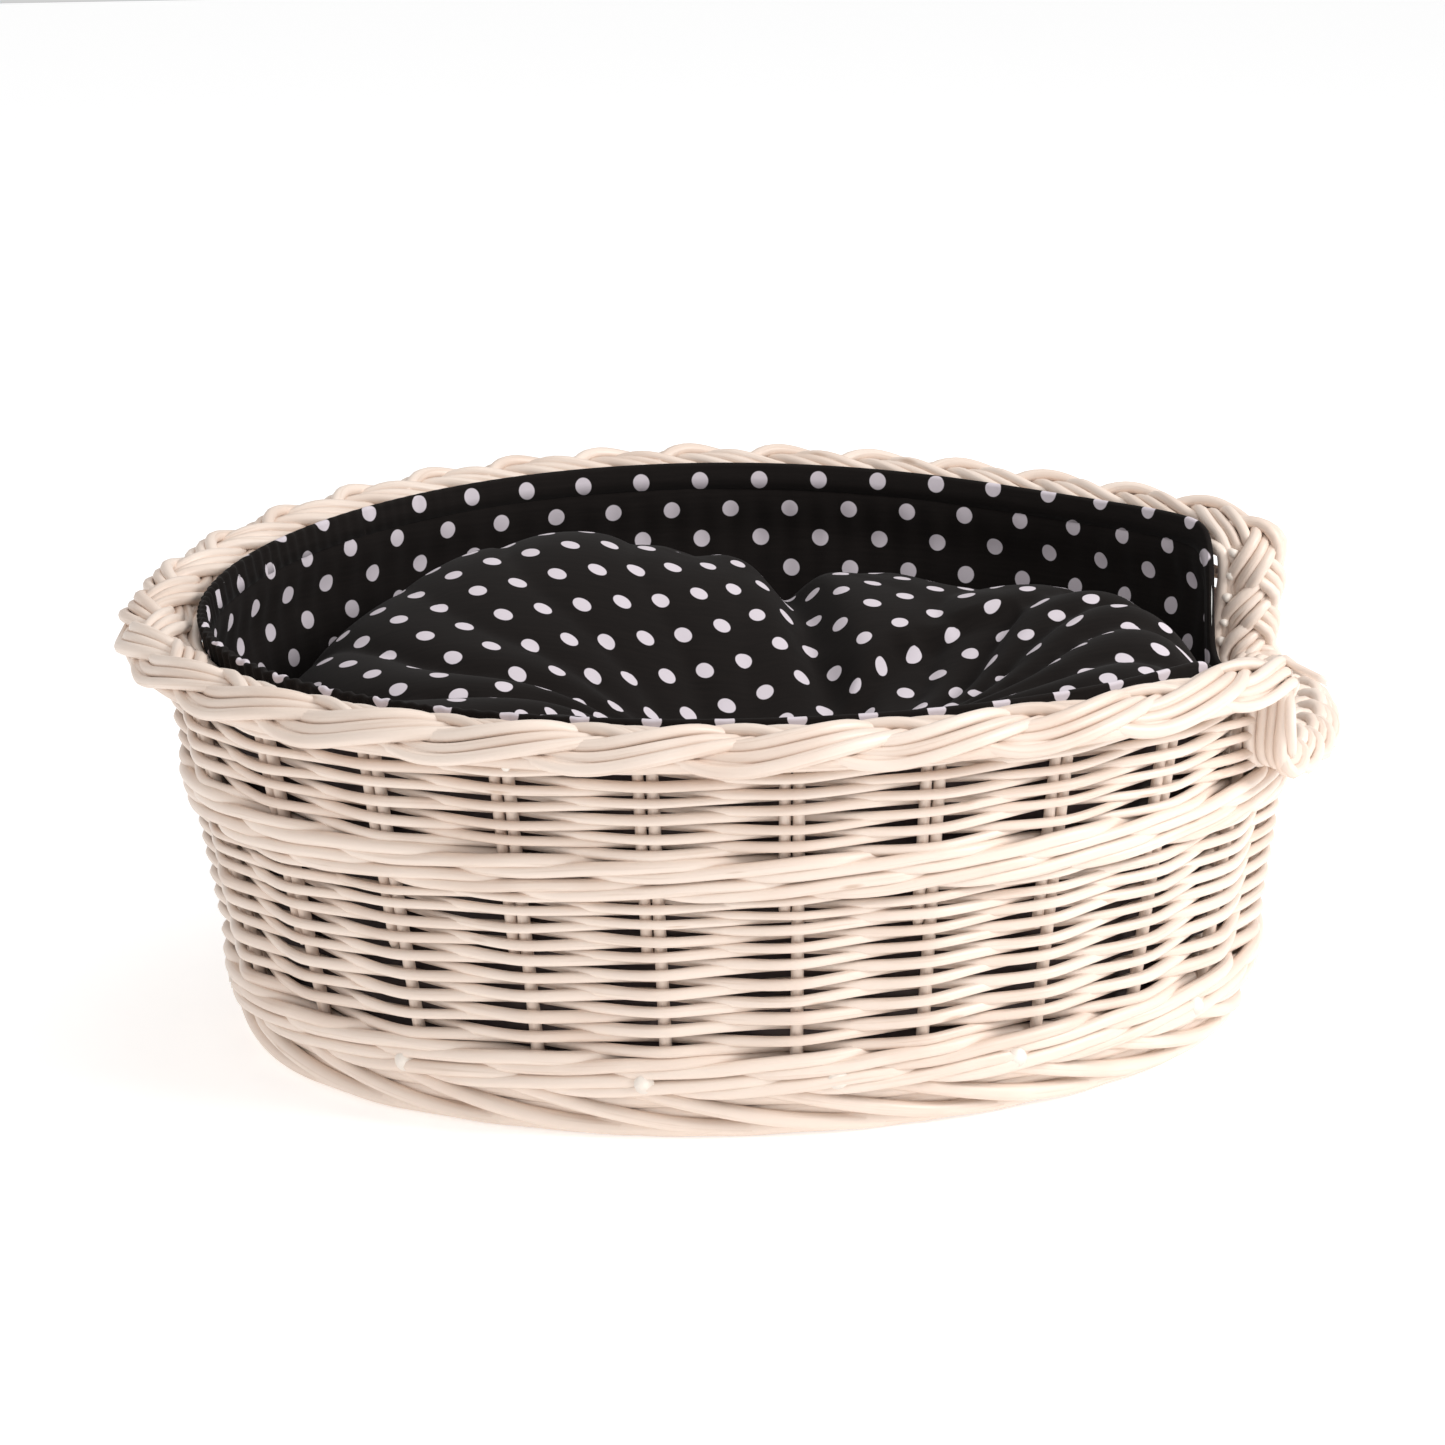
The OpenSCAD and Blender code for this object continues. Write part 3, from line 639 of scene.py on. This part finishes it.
# a thin sheet from a grid of points that closes on itself (rows along the cloth, columns up it): the same grid
# pushed back along its normals makes the reverse, and the two open edges are joined
def shell(name, grid, thickness, uv):
    n, m = grid.shape[:2]
    normal = np.cross(np.roll(grid, -1, 0) - np.roll(grid, 1, 0), np.gradient(grid, axis=1))
    normal /= np.maximum(np.linalg.norm(normal, axis=-1, keepdims=True), 1e-9)
    points = np.concatenate([grid.reshape(-1, 3), (grid - normal * thickness).reshape(-1, 3)])
    i, j = np.meshgrid(np.arange(n), np.arange(m - 1), indexing="ij")
    i2 = (i + 1) % n
    corners = [(i, j), (i2, j), (i2, j + 1), (i, j + 1)]
    front = np.stack([a * m + b for a, b in corners], -1).reshape(-1, 4)
    frontUv = np.stack([uv[i + (k in (1, 2)), j + (k in (2, 3))] for k in range(4)], -2).reshape(-1, 4, 2)
    quads = [front, front[:, ::-1] + n * m]
    maps = [frontUv, frontUv[:, ::-1]]
    k = np.arange(n)
    k2 = (k + 1) % n
    for edge, flip in ((0, False), (m - 1, True)):
        band = np.stack([k * m + edge, k2 * m + edge, k2 * m + edge + n * m, k * m + edge + n * m], -1)
        quads.append(band[:, ::-1] if flip else band)
        maps.append(np.repeat(uv[k, edge][:, None], 4, 1))
    quads, maps = np.concatenate(quads), np.concatenate(maps)
    values = {"reverse": np.repeat([0.0, 1.0], n * m)}
    return makeMesh(name, points, quads.reshape(-1), np.full(len(quads), 4), maps.reshape(-1, 2), values)


# liner: its wall stands just inside the weaving, comes in to the border near its top, and ends in a hem
liner = {
    "columns": 620, "rows": 34, "thick": 1.1 * mm, "flatHigh": 0.205, "patternUp": 4 * mm,
    "belowCrest": 3.4 * mm, "frontSoft": 0.030, "backSoft": 0.022, "kneeDown": 45 * mm, "kneeLeast": 50 * mm,
    "gather": 0.9 * mm, "gatherWave": 17 * mm, "fold": 2.2 * mm, "foldWave": 0.11, "foldWave2": 0.067,
    "hemGather": 1.0 * mm, "hemWave": 8.5 * mm, "hemHigh": 14 * mm, "hemThick": 0.5 * mm, "hemHollow": 1.3 * mm,
    "hemIn": 3.7 * mm, "hemColumns": 2000, "elasticDown": 4.6 * mm, "elasticR": 1.1 * mm,
    "floorFlat": (0.51, 0.38), "floorThick": 1.2 * mm, "floorRipple": 0.4 * mm,
}
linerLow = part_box("liner_floor")[0].z
hemMid = borderMid - basket["borderW"] / 2 - liner["hemIn"]
linerOut = -basket["wallThick"] - 2.4 * mm


# height of the liner's top: below the border's crest, and low across the entrance, with a soft step (a logistic
# curve) at each of its two sides
def linerTop(t):
    turned = (t + math.pi) % (2 * math.pi) - math.pi
    pastFront = 1 / (1 + np.exp(-(turned - dirAt(frontPostS)) / liner["frontSoft"]))
    beforeBack = 1 / (1 + np.exp((turned - dirAt(backPostS - plait["postShift"])) / liner["backSoft"]))
    share = pastFront * beforeBack
    return rimHeight(t) * (1 - share) + sillCrest * share - liner["belowCrest"]


# how near direction t is to the closed end, from 0 to 1; the hem is gathered most there
def closedEnd(t):
    return np.clip(-np.cos(t), 0, 1) ** 2


# the wall's distance outwards: level below the knee, then an S curve in to the hem, with fine gathers that grow
# towards the top (a wavy sine) and broad folds half way up (two sines)
def linerWall():
    t = np.linspace(0, 2 * math.pi, liner["columns"], endpoint=False)[:, None]
    s = arcAt(t)
    share = np.linspace(0, 1, liner["rows"])[None]
    top = linerTop(t)
    knee = np.maximum(top - liner["kneeDown"], linerLow + liner["kneeLeast"])
    z = linerLow + (top - 6 * mm - linerLow) * share
    inward = np.clip((z - knee) / (top - liner["hemHigh"] - knee), 0, 1)
    inward = inward * inward * (3 - 2 * inward)
    out = linerOut + (hemMid - liner["hemHollow"] - linerOut) * inward
    underHem = np.clip((z - top + 26 * mm) / (10 * mm), 0, 1)
    fine = np.sin(2 * math.pi * s / liner["gatherWave"] + 2 * np.sin(s / 0.05)) - 1
    gather = liner["gather"] * share ** 3 * (1 - underHem) * fine
    broad = liner["fold"] * share * (1 - share) * 2 * (
        np.sin(2 * math.pi * (s + 0.05 * share) / liner["foldWave"] + 1.6 * np.sin(s / 0.09))
        + 0.6 * np.sin(2 * math.pi * (s - 0.08 * share) / liner["foldWave2"] + 1.0) - 1.1)
    points = wallPoint(t, z, out + gather + broad)
    v = np.concatenate([z, z[:1]]) + liner["patternUp"]
    u = np.broadcast_to(np.append(s[:, 0], s[0, 0] + roundS)[:, None], v.shape)
    uv = np.stack([u, v], -1)
    return shell("liner_wall_cloth", points[:, ::-1], liner["thick"], uv[:, ::-1])


# a folded hem carried round the liner's top: its profile is moved outwards and up by a wavy sine, which dies
# away towards the hem's foot and towards the entrance
def linerHem():
    n = liner["hemColumns"]
    t = np.linspace(0, 2 * math.pi, n, endpoint=False)[:, None]
    s = arcAt(t)
    top = linerTop(t)
    high, thick, mid = liner["hemHigh"], liner["hemThick"], liner["hemHollow"]
    # the profile as (outward, up) from the middle of its fold: up the inner leaf, over, and down the outer one
    arch = np.radians(np.linspace(180, 0, 7))
    outer = np.concatenate([[[-mid - thick, -high], [-mid - thick, -high * 0.55]],
                            np.stack([np.cos(arch), np.sin(arch)], -1) * (mid + thick) - [0, mid + thick],
                            [[mid + thick, -high * 0.55], [mid + thick, -high]]])
    inner = np.concatenate([[[mid, -high], [mid, -high * 0.55]],
                            np.stack([-np.cos(arch), np.sin(arch)], -1) * mid - [0, mid + thick],
                            [[-mid, -high * 0.55], [-mid, -high]]])
    profile = np.concatenate([outer, inner])
    ruffle = np.sin(2 * math.pi * s / liner["hemWave"] + 2.2 * np.sin(s / 0.031) + 1.3 * np.sin(s / 0.0173))
    slack = np.clip(-profile[:, 1] / high, 0, 1)[None]
    ruffle = ruffle * (0.03 + 0.97 * closedEnd(t))
    out = hemMid + profile[None, :, 0] - liner["hemGather"] * ruffle * (1 - slack * 0.7)
    z = top + profile[None, :, 1] + 0.5 * mm * ruffle * (1 - slack) - 0.7 * mm
    points = wallPoint(t, z, out)
    m = len(profile)
    i, j = np.meshgrid(np.arange(n), np.arange(m), indexing="ij")
    i2, j2 = (i + 1) % n, (j + 1) % m
    quads = np.stack([i * m + j, i * m + j2, i2 * m + j2, i2 * m + j], -1).reshape(-1, 4)
    hops = np.linalg.norm(np.diff(np.concatenate([profile, profile[:1]]), axis=0), axis=1)
    length = np.append(0, np.cumsum(hops))
    sAll = np.append(s[:, 0], roundS + s[0, 0])
    leafFoot = np.append(top[:, 0], top[0, 0]) - high - linerLow
    u = np.stack([sAll[i], sAll[i], sAll[i + 1], sAll[i + 1]], -1)
    v = np.stack([length[j] + leafFoot[i], length[j + 1] + leafFoot[i], length[j + 1] + leafFoot[i + 1],
                  length[j] + leafFoot[i + 1]], -1) + linerLow + liner["patternUp"]
    uv = np.stack([u, v], -1).reshape(-1, 2)
    return makeMesh("liner_hem_cloth", points.reshape(-1, 3), quads.reshape(-1), np.full(n * m, 4), uv,
                    {"reverse": np.zeros(n * m)})


# an oval disc, rippled a little towards its edge
def linerFloor():
    low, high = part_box("liner_floor")
    t = np.linspace(0, 2 * math.pi, 120, endpoint=False)[:, None]
    r = np.linspace(0.02, 1, 24)[None]
    centre = (np.array(low) + np.array(high)) / 2
    half = (np.array(high) - np.array(low)) / 2
    x, y = centre[0] + half[0] * r * np.cos(t), centre[1] + half[1] * r * np.sin(t)
    z = high.z - liner["floorRipple"] + liner["floorRipple"] * np.sin(9 * t + 30 * r) * r
    points = np.stack([x, y, z], -1)
    uv = np.stack([x, y], -1)
    uv = np.concatenate([uv, uv[:1]])
    return shell("liner_floor_cloth", points, liner["floorThick"], uv)


linerFloorPiece = finishPiece(linerFloor(), "basket", ["liner_floor"], linerMat)
linerWallPiece = finishPiece(linerWall(), "basket", ["liner_wall"], linerMat)
linerHemPiece = finishPiece(linerHem(), "basket", ["liner_hem"], linerMat)


# a thin round cord inside the hem's fold
def elasticRing():
    t = np.linspace(0, 2 * math.pi, 400, endpoint=False)[None]
    z = linerTop(t) - liner["elasticDown"]
    paths = wallPoint(t, z, hemMid)
    return rods("hem_elastic_cord", paths, wallNormal(t, z), liner["elasticR"], 7, True)


def plainMaterial(name, **sockets):
    material, _, paint = newMaterial(name)
    paint(**sockets)
    return material


elasticMat = plainMaterial("elastic", Base_Color=(0.7, 0.7, 0.68, 1), Roughness=0.8)
finishPiece(elasticRing(), "basket", ["hem_elastic"], elasticMat)
print("liner made")


# cushion: two oval panels sewn together round the edge and loosely stuffed
cushionLow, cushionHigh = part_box("cushion_top_panel")
cushion = {
    "across": 124, "deep": 92, "edgeZ": 0.060, "base": 0.138, "round": 5.0,
    # swellings and hollows of the top: place, reach both ways and height, in metres
    "bumps": [
        (-0.072, 0.130, 0.118, 0.080, 0.037), (0.212, 0.035, 0.058, 0.090, 0.022),
        (0.122, 0.150, 0.026, 0.028, 0.014), (0.056, 0.120, 0.013, 0.130, -0.022),
        (0.000, -0.020, 0.085, 0.072, -0.058), (-0.175, -0.010, 0.070, 0.050, -0.006),
        (0.115, 0.000, 0.045, 0.050, -0.014), (0.000, -0.150, 0.200, 0.040, 0.012),
    ],
    # fans of folds: the foot in metres, the creases' directions in degrees, and the depth by direction
    "fans": [
        {"foot": (-0.015, -0.040), "creases": (70, 92, 118, 138, 156, 174, 194, 216, 245),
         "turn": (70, 140, 160, 240), "deep": (0.004, 0.006, 0.017, 0.017)},
        {"foot": (0.060, -0.045), "creases": (-44, -22, -5, 10, 23, 37, 56, 92),
         "turn": (-40, 35, 60, 90), "deep": (0.013, 0.012, 0.005, 0.004)},
    ],
    "crowd": 0.25, "inset": 0.975, "frames": 20, "pressure": 2.0, "grow": 0.13, "cap": 0.018,
}


# the top's height over a place: a level base, swellings and hollows (bell curves), and fans of folds that are
# full between their creases (a power of the sine), falling off steeply at the edge
def cushionTop(x, y, r2):
    z = cushion["base"] + 0 * x
    for x0, y0, rx, ry, high in cushion["bumps"]:
        z = z + high * np.exp(-((x - x0) / rx) ** 2 - ((y - y0) / ry) ** 2)
    for fan in cushion["fans"]:
        dx, dy = x - fan["foot"][0], y - fan["foot"][1]
        near = np.hypot(dx, dy)
        angle = np.degrees(np.arctan2(dy, dx)) + 5 * np.sin(38 * near)
        creases = np.array(fan["creases"], float)
        angle = np.where(angle < creases[0] - 40, angle + 360, angle)
        k = np.clip(np.searchsorted(creases, angle) - 1, 0, len(creases) - 2)
        part = np.clip((angle - creases[k]) / (creases[k + 1] - creases[k]), 0, 1)
        reach = np.clip(near / 0.05, 0, 1) * np.exp(-(near / 0.21) ** 4)
        z = z - np.interp(angle, fan["turn"], fan["deep"]) * (1 - np.sin(math.pi * part) ** 0.45) * reach
    return z * np.clip(1 - r2 ** cushion["round"], 0, 1) ** 0.5


# a square grid drawn out to a disc for each panel: the top one's height comes from cushionTop, the lower one
# turns up near its edge (a square), and they share one row of points along the seam
def cushionMesh():
    nu, nv = cushion["across"], cushion["deep"]
    a, b = np.meshgrid(np.linspace(-1, 1, nu), np.linspace(-1, 1, nv), indexing="ij")
    u, v = a * np.sqrt(1 - b * b / 2), b * np.sqrt(1 - a * a / 2)
    crowd = 1 + cushion["crowd"] * (1 - u * u - v * v)
    u, v = u * crowd, v * crowd
    half = (np.array(cushionHigh) - np.array(cushionLow)) / 2 * cushion["inset"]
    centre = (np.array(cushionHigh) + np.array(cushionLow)) / 2
    low = cushionLow.z + 1.5 * mm
    r = np.clip(np.hypot(u, v), 0, 1)
    x, y = centre[0] + u * half[0], centre[1] + v * half[1]
    rise = cushionTop(x, y, r * r)
    seam = cushion["edgeZ"]
    topZ = low + seam + rise - seam * np.clip(rise / 0.05, 0, 1)
    bottomZ = low + seam * np.clip((r - 0.72) / 0.28, 0, 1) ** 2
    top, bottom = (np.stack([x, y, z], -1) for z in (topZ, bottomZ))
    index = np.arange(nu * nv).reshape(nu, nv)
    under = index + nu * nv
    rim = np.zeros((nu, nv), bool)
    rim[[0, -1]] = rim[:, [0, -1]] = True
    under[rim] = index[rim]
    topQuads, underQuads = (np.stack([g[:-1, :-1], g[1:, :-1], g[1:, 1:], g[:-1, 1:]], -1).reshape(-1, 4)
                            for g in (index, under))
    loops = np.concatenate([topQuads, underQuads[:, ::-1]])
    flat = np.stack([u * half[0], v * half[1]], -1).reshape(-1, 2)
    # the lower panel's pattern is cut from another place on the cloth
    uv = np.concatenate([flat[topQuads], flat[topQuads][:, ::-1] + 1.007])
    points = np.concatenate([top.reshape(-1, 3), bottom.reshape(-1, 3)])
    # the vertices of the lower panel that the seam replaces are dropped
    used = np.unique(loops)
    renumber = np.zeros(len(points), int)
    renumber[used] = np.arange(len(used))
    piece = makeMesh("cushion_cover", points[used], renumber[loops].reshape(-1), np.full(len(loops), 4),
                     uv.reshape(-1, 2), {"reverse": np.zeros(len(used))})
    rimIndex = np.concatenate([index[:, 0], index[-1, 1:], index[-2::-1, -1], index[0, -2:0:-1]])
    return piece, renumber[rimIndex], renumber[under[~rim]], renumber[index]


# read a mesh's points as an array
def readPoints(mesh):
    points = np.zeros(len(mesh.vertices) * 3)
    mesh.vertices.foreach_get("co", points)
    return points.reshape(-1, 3)


# keep points inside the liner: each one outside an oval that clears the wall by the gap is pulled in to it,
# straight towards the middle
def keepInside(points, gap):
    x, y, z = points.T
    dx, dy = x - ovalX(z), y - middle[1]
    far = np.sqrt((dx / (halfX(z) - gap)) ** 2 + (dy / (halfY(z) - gap)) ** 2)
    pull = np.minimum(1, 1 / np.maximum(far, 1e-6))
    return np.stack([ovalX(z) + dx * pull, middle[1] + dy * pull, z], -1)


# blow the cover up with a short run of cloth, its underside held more firmly, and give back its points; none of
# them moves further than the cap
def puffCushion(piece, underside):
    mesh = piece.data
    start = readPoints(mesh)
    hold = piece.vertex_groups.new(name="hold")
    others = np.setdiff1d(np.arange(len(start)), underside)
    hold.add(underside.tolist(), 0.35, "REPLACE")
    hold.add(others.tolist(), 0.06, "REPLACE")
    sim = piece.modifiers.new("Cloth", "CLOTH")
    settings = sim.settings
    settings.quality = 6
    settings.mass = 0.25
    settings.tension_stiffness = settings.compression_stiffness = 12
    settings.shear_stiffness = 5
    settings.bending_stiffness = 0.1
    settings.shrink_min = settings.shrink_max = -cushion["grow"]
    settings.use_pressure = True
    settings.uniform_pressure_force = cushion["pressure"]
    settings.effector_weights.gravity = 0
    settings.vertex_group_mass = "hold"
    settings.pin_stiffness = 0.5
    sim.point_cache.frame_start = 1
    sim.point_cache.frame_end = cushion["frames"]
    scene = bpy.context.scene
    for frameNumber in range(1, cushion["frames"] + 1):
        scene.frame_set(frameNumber)
    shaped = piece.evaluated_get(bpy.context.evaluated_depsgraph_get()).to_mesh()
    moved = readPoints(shaped) - start
    piece.to_mesh_clear()
    piece.modifiers.remove(sim)
    piece.vertex_groups.remove(hold)
    length = np.linalg.norm(moved, axis=1, keepdims=True)
    moved *= np.minimum(1, cushion["cap"] / np.maximum(length, 1e-9))
    return start + moved


# lay the cloth's pattern on the top panel: distances along the cloth, both ways from the middle, smoothed
def clothPattern(piece, points, grid):
    p = points[grid]
    flat = []
    for axis in (0, 1):
        gap = np.linalg.norm(np.diff(p, axis=axis), axis=-1)
        for _ in range(3):
            gap = sum((np.roll(gap, *way) for way in ((1, 0), (-1, 0), (1, 1), (-1, 1))), gap) / 5
        lengthTo = np.concatenate([np.zeros_like(gap.take([0], axis)), np.cumsum(gap, axis)], axis)
        lengthTo -= lengthTo.take([grid.shape[axis] // 2], axis)
        flat.append(lengthTo)
    flat = np.stack(flat, -1)
    mesh = piece.data
    corners = np.zeros(len(mesh.loops), np.int32)
    mesh.loops.foreach_get("vertex_index", corners)
    uv = np.zeros(len(mesh.loops) * 2, np.float32)
    mesh.uv_layers[0].data.foreach_get("uv", uv)
    uv = uv.reshape(-1, 2)
    ofPoint = np.zeros((len(points), 2))
    ofPoint[grid.ravel()] = flat.reshape(-1, 2)
    top = (grid.shape[0] - 1) * (grid.shape[1] - 1) * 4
    uv[:top] = ofPoint[corners[:top]]
    mesh.uv_layers[0].data.foreach_set("uv", uv.ravel())


cushionPiece, seamIndex, underIndex, topGrid = cushionMesh()
shapedPoints = puffCushion(cushionPiece, underIndex)
shapedPoints = keepInside(shapedPoints, basket["wallThick"] + 6 * mm)
shapedPoints[:, 2] = np.clip(shapedPoints[:, 2], cushionLow.z + 0.6 * mm, cushionHigh.z + 4 * mm)
cushionPiece.data.vertices.foreach_set("co", shapedPoints.astype(np.float32).ravel())
cushionPiece.data.update()
clothPattern(cushionPiece, shapedPoints, topGrid)
bpy.context.scene.frame_set(1)
smooth = cushionPiece.modifiers.new("Subdivision", "SUBSURF")
smooth.levels = smooth.render_levels = 1
finishPiece(cushionPiece, "cushion", ["cushion_top_panel", "cushion_base_panel", "cushion_filling"],
            cushionMat)
print("cushion made")


# zip: a coil, whose rod is thick and thin by turns, between two tapes along the back of the cushion's seam
zipper = {"span": 55 * mm, "coilR": 1.5 * mm, "tapeR": 1.2 * mm, "tapeUp": 3 * mm, "steps": 90}


# all three follow the seam's points near the back, sorted along x and rounded by a moving average
def zipRods():
    seam = shapedPoints[seamIndex]
    line = seam[seam[:, 1] > seam[:, 1].max() - zipper["span"]]
    line = line[np.argsort(line[:, 0])]
    x = np.linspace(line[0, 0], line[-1, 0], zipper["steps"])
    y, z = (smoothLine(np.interp(x, line[:, 0], line[:, axis]), 9) for axis in (1, 2))
    inner = np.stack([x, y, z], -1)
    up = zipper["tapeUp"]
    paths = np.stack([inner + [0, 1.0 * mm, 0], inner + [0, 0.2 * mm, up], inner + [0, 0.2 * mm, -up]])
    normals = np.tile([0, 1.0, 0], paths.shape[:2] + (1,))
    turns = 1 + 0.25 * (np.arange(zipper["steps"]) % 2)
    size = np.stack([zipper["coilR"] * turns, zipper["tapeR"] + 0 * turns, zipper["tapeR"] + 0 * turns])
    return rods("cushion_zip_coil", paths, normals, size, 6)


zipMat = plainMaterial("zip_tape", Base_Color=(0.02, 0.02, 0.022, 1), Roughness=0.5)
finishPiece(zipRods(), "cushion", ["cushion_zip"], zipMat)
math.prod(liner["floorFlat"]) * math.pi / 4
print("zip made")


# floor, light and camera

studio = {
    "aim": (0, 0, 0.1), "world": 0.63, "paper": (0.9, 0.9, 0.9, 1), "paperGlow": 0.4,
    # each lamp's place, size and power
    "key": ((1.9, -1.2, 1.5), 1.2, 46), "fill": ((-1.7, -1.9, 1.0), 1.8, 7), "top": ((0.3, 0.2, 2.2), 1.6, 7),
}


def addFloor():
    bpy.ops.mesh.primitive_plane_add(size=12, location=(0, 0, 0))
    floor = bpy.context.object
    floor.name = "floor"
    paper = plainMaterial("floor_paper", Base_Color=studio["paper"], Roughness=0.9,
                          Emission_Color=(1, 1, 1, 1), Emission_Strength=studio["paperGlow"])
    floor.data.materials.append(paper)


# a round lamp turned towards the aim: tilted by its angle from straight down, then turned to the aim's side
def addLamp(name, place, size, power):
    light = bpy.data.lights.new(name, "AREA")
    light.shape = "DISK"
    light.size = size
    light.energy = power
    lamp = bpy.data.objects.new(name, light)
    lamp.location = place
    dx, dy, dz = np.array(studio["aim"]) - np.array(place)
    lamp.rotation_euler = (math.atan2(math.hypot(dx, dy), -dz), 0, math.atan2(dy, dx) - math.pi / 2)
    bpy.context.scene.collection.objects.link(lamp)


view = {
    "azimuth": -11.45, "elevation": 15.5, "distance": 2.0, "focal": 97.16, "aimRight": -0.015, "aimHigh": 0.152,
}


# the camera stands off along its viewing direction from a point a little left of the basket's middle
def addCamera():
    camera = bpy.data.cameras.new("camera")
    camera.lens = view["focal"]
    camera.sensor_width = 36
    az, el = math.radians(view["azimuth"]), math.radians(view["elevation"])
    right = np.array([math.cos(az), math.sin(az), 0])
    aim = middle * [1, 1, 0] + right * view["aimRight"] + np.array([0, 0, view["aimHigh"]])
    back = np.array([math.sin(az) * math.cos(el), -math.cos(az) * math.cos(el), math.sin(el)])
    seat = bpy.data.objects.new("camera", camera)
    seat.location = aim + back * view["distance"]
    seat.rotation_euler = (math.pi / 2 - el, 0, az)
    bpy.context.scene.collection.objects.link(seat)
    bpy.context.scene.camera = seat


addFloor()
addCamera()
for name in ("key", "fill", "top"):
    addLamp(name, *studio[name])
world = bpy.data.worlds.new("studio")
world.use_nodes = True
world.node_tree.nodes["Background"].inputs["Color"].default_value = (1, 1, 1, 1)
world.node_tree.nodes["Background"].inputs["Strength"].default_value = studio["world"]
bpy.context.scene.world = world
bpy.context.scene.view_settings.view_transform = "Standard"
print("floor, lights and camera made")
